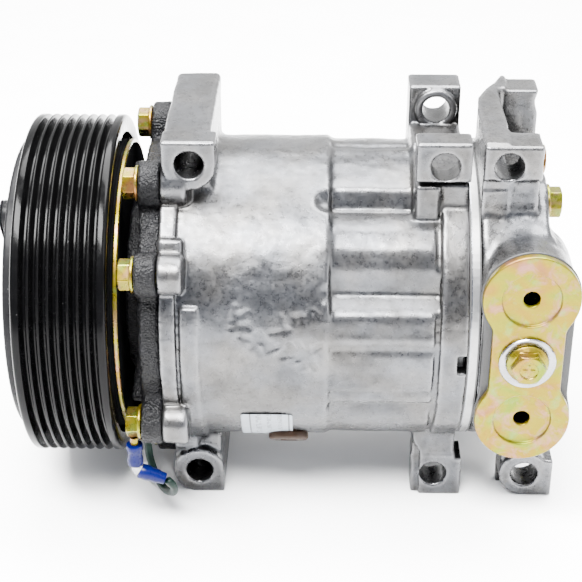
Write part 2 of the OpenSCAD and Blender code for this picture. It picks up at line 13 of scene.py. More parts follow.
import bmesh
import bpy
import numpy as np
import openvdb as vdb
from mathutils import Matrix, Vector

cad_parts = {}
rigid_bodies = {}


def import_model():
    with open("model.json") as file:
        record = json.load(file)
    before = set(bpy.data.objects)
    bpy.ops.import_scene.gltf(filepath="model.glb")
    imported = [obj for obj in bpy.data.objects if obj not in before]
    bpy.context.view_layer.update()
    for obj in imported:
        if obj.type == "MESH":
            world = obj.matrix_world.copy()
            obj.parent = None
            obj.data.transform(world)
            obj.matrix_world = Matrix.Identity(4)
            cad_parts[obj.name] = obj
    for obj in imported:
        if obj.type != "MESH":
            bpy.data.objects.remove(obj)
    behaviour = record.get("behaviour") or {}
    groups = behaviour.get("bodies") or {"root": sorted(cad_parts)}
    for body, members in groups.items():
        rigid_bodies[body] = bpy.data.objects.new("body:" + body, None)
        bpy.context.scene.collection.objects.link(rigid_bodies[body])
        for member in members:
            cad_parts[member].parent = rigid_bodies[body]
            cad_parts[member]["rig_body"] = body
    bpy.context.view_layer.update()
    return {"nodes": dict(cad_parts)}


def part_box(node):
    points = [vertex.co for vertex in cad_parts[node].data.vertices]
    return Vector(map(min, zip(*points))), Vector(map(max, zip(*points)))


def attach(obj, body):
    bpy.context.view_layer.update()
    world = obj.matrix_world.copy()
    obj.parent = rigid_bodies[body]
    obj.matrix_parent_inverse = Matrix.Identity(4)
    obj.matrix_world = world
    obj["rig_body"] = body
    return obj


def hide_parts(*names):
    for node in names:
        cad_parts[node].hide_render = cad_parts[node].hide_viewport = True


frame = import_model()

# ---- frame ----

MM = 0.001
NOSE_X = -112.0  # shaft tip, measured from the shaft frame's origin
shaft_lo, shaft_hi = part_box("shaft")
ORIGIN = Vector((shaft_lo.x - NOSE_X * MM, 0.0, (shaft_lo.z + shaft_hi.z) / 2))
PORT_SIDE = 151.0  # angle from +Y towards +Z that faces the camera


def to_row(point):
    """A shaft-frame point in millimetres as a row-frame point in metres."""
    return ORIGIN + Vector(point) * MM


def turned_point(x, radius, angle):
    """The shaft-frame point at an angle about the shaft, from +Y towards +Z."""
    a = math.radians(angle)
    return (x, radius * math.cos(a), radius * math.sin(a))


# ---- camera ----

ELEVATION, YAW = 29.0, 1.2
DISTANCE = 0.581
LENS = 90.9
AIM = to_row((-0.8, 0.0, 0.0))
AIM_DROP = 0.003
el, yaw = math.radians(ELEVATION), math.radians(YAW)
forward = Vector((-math.sin(yaw) * math.cos(el), math.cos(yaw) * math.cos(el), -math.sin(el)))
right = Vector((math.cos(yaw), math.sin(yaw), 0.0))
up = right.cross(forward)
camera_data = bpy.data.cameras.new("camera")
camera_data.lens = LENS
camera_data.sensor_width = 36.0
camera_data.clip_start = 0.02
camera = bpy.data.objects.new("camera", camera_data)
bpy.context.scene.collection.objects.link(camera)
camera.location = AIM - forward * DISTANCE - up * AIM_DROP
camera.rotation_euler = forward.to_track_quat("-Z", "Y").to_euler()
bpy.context.scene.camera = camera

# ---- clay modelling ----

FAR = 40.0
Shape = namedtuple("Shape", "low high field")


def round_corner(u, v, edge):
    """Joins two slab distances at a right angle with a rounded edge."""
    u, v = u + edge, v + edge
    return np.sqrt(np.maximum(u, 0) ** 2 + np.maximum(v, 0) ** 2) + np.minimum(np.maximum(u, v), 0) - edge


def slab(w, low, high):
    return np.abs(w - (low + high) / 2) - (high - low) / 2


def rod_x(x0, x1, r, y=0.0, z=0.0, edge=0.0):
    """Round bar along X."""
    def field(X, Y, Z):
        return round_corner(slab(X, x0, x1), np.sqrt((Y - y) ** 2 + (Z - z) ** 2) - r, edge)
    return Shape((x0, y - r, z - r), (x1, y + r, z + r), field)


def rod_y(x, z, y0, y1, r, edge=0.0, flare=0.0):
    """Round bar along Y; flare makes it wider towards y1."""
    top = r + abs(flare)

    def field(X, Y, Z):
        radius = r + flare * np.clip((Y - y0) / (y1 - y0), 0, 1)
        return round_corner(slab(Y, y0, y1), np.sqrt((X - x) ** 2 + (Z - z) ** 2) - radius, edge)
    return Shape((x - top, y0, z - top), (x + top, y1, z + top), field)


def brick(low, high, edge=0.0):
    def field(X, Y, Z):
        q = [np.abs(w - (a + b) / 2) - (b - a) / 2 + edge for w, a, b in zip((X, Y, Z), low, high)]
        outside = np.sqrt(sum(np.maximum(w, 0) ** 2 for w in q))
        return outside + np.minimum(np.maximum(np.maximum(q[0], q[1]), q[2]), 0) - edge
    return Shape(tuple(low), tuple(high), field)


def outline_distance(points, U, V):
    """Signed distance from a closed outline in a plane."""
    best, inside = None, None
    count = len(points)
    for k in range(count):
        (ax, ay), (bx, by) = points[k], points[(k + 1) % count]
        ex, ey = bx - ax, by - ay
        wx, wy = U - ax, V - ay
        t = np.clip((wx * ex + wy * ey) / (ex * ex + ey * ey), 0, 1)
        gap = (wx - ex * t) ** 2 + (wy - ey * t) ** 2
        best = gap if best is None else np.minimum(best, gap)
        slope = ex / ey if ey else 0.0
        crosses = ((ay > V) != (by > V)) & (U < slope * (V - ay) + ax)
        inside = crosses if inside is None else inside ^ crosses
    return np.where(inside, -1.0, 1.0) * np.sqrt(best)


def prism(points, axis, low, high, edge=0.0, grow=0.0):
    """An outline in the plane across `axis`, drawn out from low to high. grow rounds its corners."""
    u, v = [i for i in range(3) if i != axis]
    pu, pv = [p[0] for p in points], [p[1] for p in points]
    lo, hi = [0.0] * 3, [0.0] * 3
    lo[axis], hi[axis] = low, high
    lo[u], hi[u], lo[v], hi[v] = min(pu) - grow, max(pu) + grow, min(pv) - grow, max(pv) + grow

    def field(*grid):
        return round_corner(slab(grid[axis], low, high),
                            outline_distance(points, grid[u], grid[v]) - grow, edge)
    return Shape(tuple(lo), tuple(hi), field)


def lathe(points, edge=0.0):
    """A closed outline of (x, radius) points turned about the shaft."""
    px, pr = [p[0] for p in points], [p[1] for p in points]
    r = max(pr) + edge

    def field(X, Y, Z):
        return outline_distance(points, X, np.sqrt(Y ** 2 + Z ** 2)) - edge
    return Shape((min(px) - edge, -r, -r), (max(px) + edge, r, r), field)


def capsule(a, b, r):
    a, b = np.array(a, float), np.array(b, float)
    e = b - a

    def field(X, Y, Z):
        t = np.clip(((X - a[0]) * e[0] + (Y - a[1]) * e[1] + (Z - a[2]) * e[2]) / (e @ e), 0, 1)
        return np.sqrt((X - a[0] - e[0] * t) ** 2 + (Y - a[1] - e[1] * t) ** 2
                       + (Z - a[2] - e[2] * t) ** 2) - r
    return Shape(tuple(np.minimum(a, b) - r), tuple(np.maximum(a, b) + r), field)


def around(shape, angle):
    """A shape drawn along +Y, turned by an angle about the shaft."""
    c, s = math.cos(math.radians(angle)), math.sin(math.radians(angle))
    corners = [(y, z) for y in (shape.low[1], shape.high[1]) for z in (shape.low[2], shape.high[2])]
    ys = [c * y - s * z for y, z in corners]
    zs = [s * y + c * z for y, z in corners]

    def field(X, Y, Z):
        return shape.field(X, c * Y + s * Z, c * Z - s * Y)
    return Shape((shape.low[0], min(ys), min(zs)), (shape.high[0], max(ys), max(zs)), field)


def smooth_min(a, b, k):
    if k <= 0:
        return np.minimum(a, b)
    h = np.maximum(k - np.abs(a - b), 0) / k
    return np.minimum(a, b) - h * h * k / 4


class Clay:
    """A lattice of signed distances, negative inside, that shapes are added to and cut from."""

    def __init__(self, low, high, step):
        self.step = step
        self.low = np.array(low, float) - 3.2 * step
        counts = np.ceil((np.array(high, float) - self.low) / step).astype(int) + 4
        self.axes = [self.low[i] + step * np.arange(counts[i]) for i in range(3)]
        self.d = np.full(counts, FAR, np.float32)

    def window(self, shape, reach):
        cut = []
        for i in range(3):
            a = int(np.searchsorted(self.axes[i], shape.low[i] - reach))
            b = int(np.searchsorted(self.axes[i], shape.high[i] + reach))
            cut.append(slice(a, max(b, a)))
        grid = np.meshgrid(*[self.axes[i][cut[i]].astype(np.float32) for i in range(3)],
                           indexing="ij", sparse=True)
        return tuple(cut), grid

    def add(self, shape, blend=0.0):
        cut, grid = self.window(shape, 3 * self.step + 1.5 * blend)
        self.d[cut] = smooth_min(self.d[cut], shape.field(*grid).astype(np.float32), blend)
        return self

    def cut(self, shape, blend=0.0):
        cut, grid = self.window(shape, 3 * self.step + 1.5 * blend)
        self.d[cut] = -smooth_min(-self.d[cut], shape.field(*grid).astype(np.float32), blend)
        return self

    def noise(self, cell, seed):
        """Smooth random values from -1 to 1 with bumps about one cell wide."""
        rng = np.random.default_rng(seed)
        counts = [int(np.ceil(len(a) * self.step / cell)) + 2 for a in self.axes]
        values = rng.uniform(-1, 1, counts).astype(np.float32)
        for i, axis in enumerate(self.axes):
            place = np.arange(len(axis)) * self.step / cell
            low = place.astype(int)
            t = (place - low).astype(np.float32)
            t = t * t * (3 - 2 * t)
            shape = [1, 1, 1]
            shape[i] = len(t)
            t = t.reshape(shape)
            values = np.take(values, low, i) * (1 - t) + np.take(values, low + 1, i) * t
        return values

    def roughen(self, amount, cell, seed):
        self.d += np.float32(amount) * self.noise(cell, seed)
        return self

    def mesh(self):
        band = 3 * self.step
        grid = vdb.FloatGrid(band)
        grid.copyFromArray(np.clip(self.d, -band, band), tolerance=1e-4)
        points, quads = grid.convertToQuads(0.0)
        return points * self.step + self.low, quads


# ---- meshes and pieces ----

def make_mesh(name, points, faces):
    """A mesh object from shaft-frame millimetres. Faces are an array or a list of index lists."""
    mesh = bpy.data.meshes.new(name)
    co = np.asarray(points, float) * MM + np.array(ORIGIN)
    if isinstance(faces, np.ndarray):
        side = faces.shape[1]
        mesh.vertices.add(len(co))
        mesh.vertices.foreach_set("co", co.astype(np.float32).ravel())
        mesh.loops.add(faces.size)
        mesh.loops.foreach_set("vertex_index", faces.astype(np.int32).ravel())
        mesh.polygons.add(len(faces))
        mesh.polygons.foreach_set("loop_start", np.arange(0, faces.size, side, dtype=np.int32))
        mesh.update(calc_edges=True)
    else:
        mesh.from_pydata([tuple(p) for p in co], [], faces)
        mesh.update()
    mesh.polygons.foreach_set("use_smooth", [True] * len(mesh.polygons))
    obj = bpy.data.objects.new(name, mesh)
    bpy.context.scene.collection.objects.link(obj)
    return obj


def joined(parts):
    """Several (points, faces) pairs as one. Faces of a pair are an array of quads."""
    points, faces, start = [], [], 0
    for p, f in parts:
        points.append(p)
        faces.append(f + start)
        start += len(p)
    return np.concatenate(points), np.concatenate(faces)


def turned(points, angle):
    """Points turned about the shaft."""
    p = np.asarray(points, float)
    c, s = math.cos(math.radians(angle)), math.sin(math.radians(angle))
    return np.stack([p[:, 0], c * p[:, 1] - s * p[:, 2], s * p[:, 1] + c * p[:, 2]], 1)


def spun(profile, segments):
    """A closed outline of (x, radius) points as a ring of quads about the shaft."""
    profile = np.asarray(profile, float)
    count = len(profile)
    a = np.arange(segments) * 2 * math.pi / segments
    x = np.repeat(profile[None, :, 0], segments, 0)
    r = profile[None, :, 1]
    points = np.stack([x, r * np.cos(a)[:, None], r * np.sin(a)[:, None]], 2)
    i, j = np.meshgrid(np.arange(segments), np.arange(count), indexing="ij")
    i2, j2 = (i + 1) % segments, (j + 1) % count
    faces = np.stack([i * count + j, i * count + j2, i2 * count + j2, i2 * count + j], 2)
    # an outline that runs clockwise in (x, radius) would turn the ring inside out
    following = np.roll(profile, -1, 0)
    area = np.sum(profile[:, 0] * following[:, 1] - following[:, 0] * profile[:, 1])
    faces = faces.reshape(-1, 4)
    return points.reshape(-1, 3), faces if area < 0 else faces[:, ::-1]


def sharp_edges(obj, degrees):
    """Smooth shading that breaks at edges steeper than an angle."""
    bm = bmesh.new()
    bm.from_mesh(obj.data)
    for face in bm.faces:
        face.smooth = True
    for edge in bm.edges:
        edge.smooth = len(edge.link_faces) == 2 and edge.calc_face_angle(0) < math.radians(degrees)
    bm.to_mesh(obj.data)
    bm.free()
    return obj


def piece(obj, material, body, replaces=(), slot=None):
    """Gives an object its material and its body, and hides the CAD nodes it replaces. The slot is not used.
    """
    obj.data.materials.clear()
    obj.data.materials.append(material)
    if replaces:
        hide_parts(*replaces)
    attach(obj, body)


TURNED_CREASE, FASTENER_CREASE = 40, 50  # degrees


def make(name, mesh, look, body, replaces=(), slot=None, crease=0):
    """A finished piece from (points, faces). Edges steeper than crease stay sharp, if it is set."""
    obj = make_mesh(name, *mesh)
    if crease:
        sharp_edges(obj, crease)
    piece(obj, looks[look], body, replaces, slot)


# ---- materials ----

class Look:
    """A node material in object coordinates, with a few building steps."""

    def __init__(self, name):
        self.material = bpy.data.materials.new(name)
        self.material.use_nodes = True
        self.tree = self.material.node_tree
        self.tree.nodes.clear()
        self.shader = self.tree.nodes.new("ShaderNodeBsdfPrincipled")
        output = self.tree.nodes.new("ShaderNodeOutputMaterial")
        self.tree.links.new(self.shader.outputs[0], output.inputs[0])
        self.coordinates = self.tree.nodes.new("ShaderNodeTexCoord").outputs["Object"]

    def put(self, socket, value):
        """Sets an input to a constant, or links a socket to it."""
        if isinstance(value, bpy.types.NodeSocket):
            self.tree.links.new(value, socket)
        elif hasattr(socket.default_value, "__len__") and len(socket.default_value) == 4:
            socket.default_value = (*value, 1.0) if len(value) == 3 else value
        else:
            socket.default_value = value

    def set(self, **inputs):
        for name, value in inputs.items():
            self.put(self.shader.inputs[name.replace("_", " ")], value)
        return self

    def noise(self, size_mm, detail=3.0, roughness=0.55, stretch=(1, 1, 1), distortion=0.0):
        node = self.tree.nodes.new("ShaderNodeTexNoise")
        node.inputs["Scale"].default_value = 1.0 / (size_mm * MM)
        node.inputs["Detail"].default_value = detail
        node.inputs["Roughness"].default_value = roughness
        node.inputs["Distortion"].default_value = distortion
        self.put(node.inputs["Vector"], self.stretched(stretch))
        return node.outputs["Fac"]

    def pits(self, size_mm):
        node = self.tree.nodes.new("ShaderNodeTexVoronoi")
        node.inputs["Scale"].default_value = 1.0 / (size_mm * MM)
        self.put(node.inputs["Vector"], self.coordinates)
        return node.outputs["Distance"]

    def stretched(self, stretch):
        if stretch == (1, 1, 1):
            return self.coordinates
        node = self.tree.nodes.new("ShaderNodeMapping")
        node.inputs["Scale"].default_value = stretch
        self.put(node.inputs["Vector"], self.coordinates)
        return node.outputs[0]

    def ramp(self, factor, *stops):
        """Colours or grey values at places from 0 to 1 of a factor."""
        node = self.tree.nodes.new("ShaderNodeValToRGB")
        elements = node.color_ramp.elements
        while len(elements) < len(stops):
            elements.new(0.5)
        for element, (place, colour) in zip(elements, stops):
            element.position = place
            colour = (colour,) * 3 if isinstance(colour, (int, float)) else colour
            element.color = (*colour, 1.0)
        self.put(node.inputs["Fac"], factor)
        return node.outputs["Color"]

    def mix(self, factor, a, b, blend="MIX"):
        node = self.tree.nodes.new("ShaderNodeMix")
        node.data_type = "RGBA"
        node.blend_type = blend
        self.put(node.inputs[0], factor)
        self.put(node.inputs[6], a)
        self.put(node.inputs[7], b)
        return node.outputs[2]

    def math(self, kind, a, b=0.0):
        node = self.tree.nodes.new("ShaderNodeMath")
        node.operation = kind
        self.put(node.inputs[0], a)
        self.put(node.inputs[1], b)
        return node.outputs[0]

    def bump(self, height, depth_mm, strength=1.0, under=None):
        node = self.tree.nodes.new("ShaderNodeBump")
        node.inputs["Strength"].default_value = strength
        node.inputs["Distance"].default_value = depth_mm * MM
        self.put(node.inputs["Height"], height)
        if under is not None:
            self.put(node.inputs["Normal"], under)
        return node.outputs[0]

    def painted_shade(self, reach_mm):
        """Painted shade: 1 deep in holes and corners, fading to 0 on open ground."""
        node = self.tree.nodes.new("ShaderNodeAmbientOcclusion")
        node.samples = 6
        node.inputs["Distance"].default_value = reach_mm * MM
        return self.ramp(node.outputs["AO"], (0.16, 0.95), (0.66, 0.0))

    def edge_wear(self):
        """1 on sharp outer edges, fading to 0 on flat ground."""
        node = self.tree.nodes.new("ShaderNodeNewGeometry")
        return self.ramp(node.outputs["Pointiness"], (0.50, 0.0), (0.56, 1.0))


def cast_aluminium(name, dark=0.037, light=0.064, tint=(1.0, 1.0, 1.02), rough=0.30):
    look = Look(name)
    blotch = look.noise(16.0, 5.0, 0.65)
    speckle = look.noise(1.1, 4.0, 0.75)
    grain = look.noise(0.45, 2.0, 0.6)
    base = look.ramp(blotch, (0.36, tuple(dark * t for t in tint)), (0.62, tuple(light * t for t in tint)))
    smut = look.ramp(look.noise(4.0, 6.0, 0.75, distortion=0.4), (0.34, 0.50), (0.46, 1.0))
    base = look.mix(0.45, base, smut, "MULTIPLY")
    warm = look.ramp(look.noise(24.0, 3.0), (0.40, (1.0, 0.97, 0.92)), (0.60, (0.95, 0.98, 1.03)))
    base = look.mix(1.0, base, warm, "MULTIPLY")
    base = look.mix(0.5, base, look.ramp(speckle, (0.38, 0.62), (0.50, 1.0)), "MULTIPLY")
    pores = look.ramp(look.pits(1.7), (0.05, 0.72), (0.22, 1.0))
    sparse = look.ramp(look.noise(7.0, 3.0), (0.50, 0.0), (0.66, 1.0))
    base = look.mix(look.math("MULTIPLY", sparse, 0.8), base, look.mix(1.0, base, pores, "MULTIPLY"))
    base = look.mix(look.math("MULTIPLY", look.edge_wear(), 0.5), base, (0.16, 0.16, 0.165))
    # painted shade: holes and corners of the casting turn near black
    base = look.mix(look.painted_shade(14.0), base, (0.008, 0.008, 0.008))
    rough_map = look.ramp(look.noise(2.2, 4.0, 0.7), (0.35, rough - 0.06), (0.65, rough + 0.09))
    normal = look.bump(grain, 0.05, 0.6)
    normal = look.bump(speckle, 0.07, 0.5, normal)
    normal = look.bump(look.noise(5.5, 3.0, 0.6), 0.18, 0.5, normal)
    return look.set(Base_Color=base, Metallic=0.9, Roughness=rough_map, Normal=normal).material


def machined_aluminium(name, tone):
    look = Look(name)
    lines = look.noise(0.5, 3.0, 0.6, (1, 0.05, 1))
    base = look.ramp(look.noise(7.0, 3.0), (0.3, tone * 0.85), (0.7, tone * 1.1))
    base = look.mix(0.4, base, look.ramp(lines, (0.3, 0.75), (0.7, 1.0)), "MULTIPLY")
    rough = look.ramp(look.noise(1.5, 3.0), (0.3, 0.30), (0.7, 0.42))
    normal = look.bump(lines, 0.03, 0.4)
    return look.set(Base_Color=base, Metallic=0.95, Roughness=rough, Normal=normal).material


def painted_casting(name):
    """Black paint over a rough sand-cast surface."""
    look = Look(name)
    coarse = look.noise(1.5, 3.0, 0.65)
    lumps = look.pits(0.85)
    base = look.ramp(look.noise(6.0, 4.0), (0.35, (0.0012, 0.0012, 0.0014)),
                     (0.65, (0.0035, 0.0035, 0.0040)))
    base = look.mix(look.ramp(coarse, (0.60, 0.0), (0.70, 0.6)), base, (0.012, 0.012, 0.013))
    rough = look.ramp(coarse, (0.35, 0.30), (0.65, 0.55))
    normal = look.bump(lumps, 0.55, 0.7)
    normal = look.bump(coarse, 0.45, 0.7, normal)
    return look.set(Base_Color=base, Roughness=rough, Normal=normal, Specular_IOR_Level=0.09).material


def black_coat(name, tone=0.0008, rough=0.14, dust=0.02, shine=0.045):
    """Smooth black coating with a little dust and soft waviness."""
    look = Look(name)
    haze = look.noise(9.0, 4.0, 0.6)
    base = look.ramp(haze, (0.35, (tone, tone, tone * 1.1)), (0.75, (tone * 2.0, tone * 2.0, tone * 2.1)))
    specks = look.ramp(look.pits(4.0), (0.045, 1.0), (0.07, 0.0))
    base = look.mix(look.math("MULTIPLY", specks, dust * 6), base, (0.10, 0.10, 0.10))
    roughness = look.ramp(look.noise(3.0, 3.0), (0.3, rough - 0.05), (0.7, rough + 0.08))
    normal = look.bump(look.noise(2.4, 2.0), 0.05, 0.35)
    return look.set(Base_Color=base, Roughness=roughness, Normal=normal, Specular_IOR_Level=shine).material


def zinc(name, rough=0.27, pink=0.55):
    """Yellow chromated zinc with its pink and green sheen."""
    look = Look(name)
    drift = look.noise(17.0, 2.0, 0.5, distortion=1.2)
    base = look.ramp(drift, (0.30, (0.080, 0.105, 0.0020)), (0.44, (0.118, 0.098, 0.0006)),
                     (0.56, (0.128, 0.082, 0.0012)), (0.68, (0.125, 0.056, 0.0160)))
    fine = look.noise(6.0, 4.0, 0.6, distortion=0.8)
    rose = look.ramp(fine, (0.50, 0.0), (0.66, pink))
    base = look.mix(rose, base, (0.176, 0.080, 0.0714))
    base = look.mix(look.ramp(look.noise(4.0, 3.0), (0.55, 0.0), (0.72, 0.6)), base, (0.084, 0.143, 0.0294))
    base = look.mix(0.35, base, look.ramp(look.noise(0.9, 3.0), (0.3, 0.75), (0.6, 1.0)), "MULTIPLY")
    roughness = look.ramp(look.noise(2.5, 3.0), (0.3, rough - 0.05), (0.7, rough + 0.1))
    normal = look.bump(look.noise(1.6, 3.0), 0.04, 0.4)
    return look.set(Base_Color=base, Metallic=0.85, Roughness=roughness, Normal=normal).material


def steel(name, tone, rough, tint=(1.0, 1.0, 1.03)):
    look = Look(name)
    lines = look.noise(0.6, 3.0, 0.6, (0.15, 1, 1))
    base = look.ramp(look.noise(5.0, 4.0), (0.3, tuple(tone * 0.8 * t for t in tint)),
                     (0.7, tuple(tone * 1.1 * t for t in tint)))
    base = look.mix(0.35, base, look.ramp(lines, (0.3, 0.7), (0.6, 1.0)), "MULTIPLY")
    roughness = look.ramp(lines, (0.3, rough - 0.06), (0.7, rough + 0.1))
    normal = look.bump(lines, 0.02, 0.3)
    return look.set(Base_Color=base, Metallic=1.0, Roughness=roughness, Normal=normal).material


def rubber(name, colour, rough):
    look = Look(name)
    fine = look.noise(0.5, 3.0, 0.7)
    base = look.ramp(look.noise(4.0, 4.0), (0.3, colour), (0.7, tuple(c * 2.2 for c in colour)))
    roughness = look.ramp(fine, (0.3, rough - 0.1), (0.7, rough + 0.15))
    return look.set(Base_Color=base, Roughness=roughness, Normal=look.bump(fine, 0.05, 0.4)).material


def nylon(name, colour, rough):
    look = Look(name)
    flow = look.noise(3.0, 3.0, 0.6)
    base = look.ramp(flow, (0.3, tuple(c * 0.75 for c in colour)),
                     (0.7, tuple(min(c * 1.2, 1) for c in colour)))
    roughness = look.ramp(look.noise(0.8, 3.0), (0.3, rough - 0.08), (0.7, rough + 0.12))
    return look.set(Base_Color=base, Roughness=roughness, Specular_IOR_Level=0.10,
                    Normal=look.bump(flow, 0.05, 0.3)).material


def winding(name):
    """Varnished copper wire, turn beside turn."""
    look = Look(name)
    wave = look.tree.nodes.new("ShaderNodeTexWave")
    wave.bands_direction = "X"
    wave.inputs["Scale"].default_value = 110.0
    wave.inputs["Distortion"].default_value = 0.6
    look.put(wave.inputs["Vector"], look.coordinates)
    base = look.ramp(look.noise(4.0, 3.0), (0.3, (0.10, 0.035, 0.012)), (0.7, (0.22, 0.085, 0.03)))
    return look.set(Base_Color=base, Roughness=look.ramp(look.noise(1.0), (0.3, 0.25), (0.7, 0.4)),
                    Normal=look.bump(wave.outputs["Fac"], 0.3, 0.8)).material


looks = {
    "cast": cast_aluminium("cast_aluminium"),
    "head_cast": cast_aluminium("head_aluminium", 0.044, 0.080, rough=0.27),
    "black_cast": painted_casting("cast_black"),
    "coat": black_coat("pulley_black"),
    "coat_dull": black_coat("armature_black", 0.004, 0.30, 0.06),
    # painted shade: the yellow zinc coil shell is drawn near black and without shine where it lies in shade
    # behind the pulley
    "coil_painted_shade": black_coat("coil_painted_shade", 0.002, 0.6, 0.04, 0.0),
    "zinc": zinc("yellow_zinc"),
    "zinc_plate": zinc("yellow_zinc_plate", 0.34, 0.7),
    "bright": steel("bright_steel", 0.20, 0.22),
    "dark": steel("dark_steel", 0.12, 0.34),
    "reed": steel("spring_steel", 0.22, 0.22, (0.95, 0.98, 1.05)),
    "plate": machined_aluminium("machined_plate", 0.24),
    "piston": machined_aluminium("piston_alloy", 0.24),
    "gasket": rubber("gasket_black", (0.003, 0.003, 0.0032), 0.6),
    "winding": winding("winding_varnish"),
    "green": nylon("lead_green", (0.0008, 0.006, 0.004), 0.42),
    "blue": nylon("terminal_blue", (0.0002, 0.0014, 0.034), 0.30),
    "brown": nylon("plug_brown", (0.018, 0.010, 0.006), 0.36),
}

NODE_LOOKS = {
    "coat": ["pulley"],
    "coat_dull": ["armature_plate", "leaf_springs", "clutch_hub"],
    "black_cast": ["front_housing"],
    "cast": ["cylinder_block"],
    "head_cast": ["cylinder_head"],
    "zinc": ["front_bolts", "head_bolts", "cap_bolt", "field_coil", "shaft_nut", "relief_valve"],
    "zinc_plate": ["port_cap_plate"],
    "bright": ["bearing_inner_race", "bearing_outer_race", "bearing_balls", "pivot_ball", "cap_washer",
               "needle_bearing", "front_thrust_bearing", "tilt_thrust_bearing", "shaft"]
    + [f"ball_{k}" for k in range(1, 8)],
    "dark": ["fixed_gear", "gear_spring", "cam_rotor", "planet_plate"] + [f"rod_{k}" for k in range(1, 8)],
    "reed": ["suction_reeds", "discharge_reeds"],
    "plate": ["valve_plate"],
    "piston": [f"piston_{k}" for k in range(1, 8)],
    "gasket": ["block_gasket", "head_gasket", "front_o_ring", "shaft_seal", "cap_gasket"],
    "winding": ["coil_winding"],
    "green": ["coil_lead"],
    "blue": ["lead_terminals"],
    "brown": ["oil_plug"],
}
for key, nodes in NODE_LOOKS.items():
    for node in nodes:
        obj = frame["nodes"][node]
        obj.data.materials.clear()
        obj.data.materials.append(looks[key])
        obj.data.polygons.foreach_set("use_smooth", [False] * len(obj.data.polygons))


# ---- castings ----

EAR_Z, EAR_FACE, EAR_TOP, FOOT_Z = 66.0, 35.0, 75.0, 76.0
EAR_HOLE_R = 5.2
BARREL_R, FLANGE_R = 58.6, 58.0
BLOCK_X0, BARREL_X1, BLOCK_X1 = -47.0, 14.0, 64.0
HEAD_X0, HEAD_X1, HEAD_R = 68.0, 93.0, 57.5
CYLINDERS = 7
STEP = 360.0 / CYLINDERS
HEAD_BOLT_A0, HEAD_BOLT_R = 113.0, 50.0
CYLINDER_A0, CYLINDER_R, BORE_R = HEAD_BOLT_A0 + STEP / 2, 38.0, 14.65
FRONT_BOLTS, FRONT_BOLT_R = (69, 117, 149, 207, 259, 318, 22), 63.0
OIL_X, OIL_A = -1.0, 232.0
RELIEF_X, RELIEF_A = 80, 20
PORT_X, PORT_ZS, PORT_FACE = 85.2, (26.0, -24.0), -55.0

# Radius of the wall over the cylinders, by angle above (+) or below (-) the port side's
# middle; the far side repeats one smooth wave per cylinder
WALL = [(-90, 57.4), (-78, 57.6), (-66, 57.8), (-58, 57.4), (-53.5, 56.2), (-51.5, 55.4), (-49.5, 57.9),
        (-47.5, 57.2), (-45.5, 55.9), (-43, 57.4), (-34, 58.0), (-27, 57.2), (-24.3, 55.9), (-22.3, 58.1),
        (-19.5, 57.5), (-12.5, 57.5), (-10.5, 56.4), (-5.5, 51.8), (-3.5, 51.6), (0, 53.6), (5, 56.6),
        (12, 58.0), (20, 57.2), (26.0, 54.2), (30.5, 50.6), (33, 51.6), (36.8, 56.0), (38.4, 56.4),
        (46, 56.0), (58, 56.2), (64, 57.0), (66.5, 55.6), (69, 57.2), (80, 57.3), (90, 57.0)]
WALL_BLUR = 1.3  # degrees
FAR_WALL_R, FAR_WAVE = 54.6, 2.6


def wall_shape(x0, x1):
    """The wall over the cylinders: a bar whose radius follows WALL."""
    angles = np.arange(-96.0, 96.1, 0.25)
    radii = np.interp(angles, [a for a, _ in WALL], [r for _, r in WALL])
    spread = np.exp(-(np.arange(-5.0, 5.1, 0.25) / WALL_BLUR) ** 2 / 2)
    radii = np.convolve(np.pad(radii, len(spread) // 2, "edge"), spread / spread.sum(), "valid")

    def field(X, Y, Z):
        a = np.degrees(np.arctan2(Z, Y))
        t = (PORT_SIDE - a + 180) % 360 - 180
        near = np.interp(t, angles, radii)
        far = FAR_WALL_R + FAR_WAVE * np.cos(np.radians(CYLINDERS * (a - CYLINDER_A0)))
        share = np.clip((np.abs(t) - 84) / 10, 0, 1)
        radius = near * (1 - share) + far * share
        return round_corner(slab(X, x0, x1), 0.94 * (np.sqrt(Y ** 2 + Z ** 2) - radius), 0.0)
    return Shape((x0, -59.0, -59.0), (x1, 59.0, 59.0), field)


def arc_pad(x0, x1, r, t0, t1, edge=0.8):
    """Part of a bar about the shaft, between two angles above the port side's middle."""
    half, middle = (t1 - t0) / 2, (t0 + t1) / 2

    def field(X, Y, Z):
        rho = np.sqrt(Y ** 2 + Z ** 2)
        t = (PORT_SIDE - np.degrees(np.arctan2(Z, Y)) - middle + 180) % 360 - 180
        side = (np.abs(t) - half) * math.pi / 180 * r
        return round_corner(round_corner(slab(X, x0, x1), rho - r, edge), side, edge)
    return Shape((x0, -r, -r), (x1, r, r), field)


def arc(cx, cy, r, a0, a1, steps=8):
    return [(cx + r * math.cos(math.radians(a0 + (a1 - a0) * k / steps)),
             cy + r * math.sin(math.radians(a0 + (a1 - a0) * k / steps))) for k in range(steps + 1)]


def ear_outline(x0, x1, hole_x, side, flat_z, inner_r):
    """Lug outline in (x, z): flat outer edge, half-round inner end about the hole."""
    z = side * EAR_Z
    turn = (0, -180) if side > 0 else (0, 180)
    round_end = [(min(max(px, x0), x1), pz) for px, pz in arc(hole_x, z, inner_r, *turn)]
    return [(x0, side * flat_z), (x1, side * flat_z)] + round_end


def front_boss_pad(a, x0, x1, r=8.0, edge=0.9):
    return around(rod_x(x0, x1, r, y=FRONT_BOLT_R, edge=edge), a)


# Casting scars: two ends as (x, angle below the port side's middle), spread and strokes
SCARS = [((-20, 11), (-15, 19), 1.0, 7), ((-15, 19), (-6, 24), 1.2, 8), ((-6, 24), (6, 27), 1.6, 12),
         ((-4, 17), (9, 9), 0.9, 8), ((0, 30), (9, 26), 1.6, 7)]


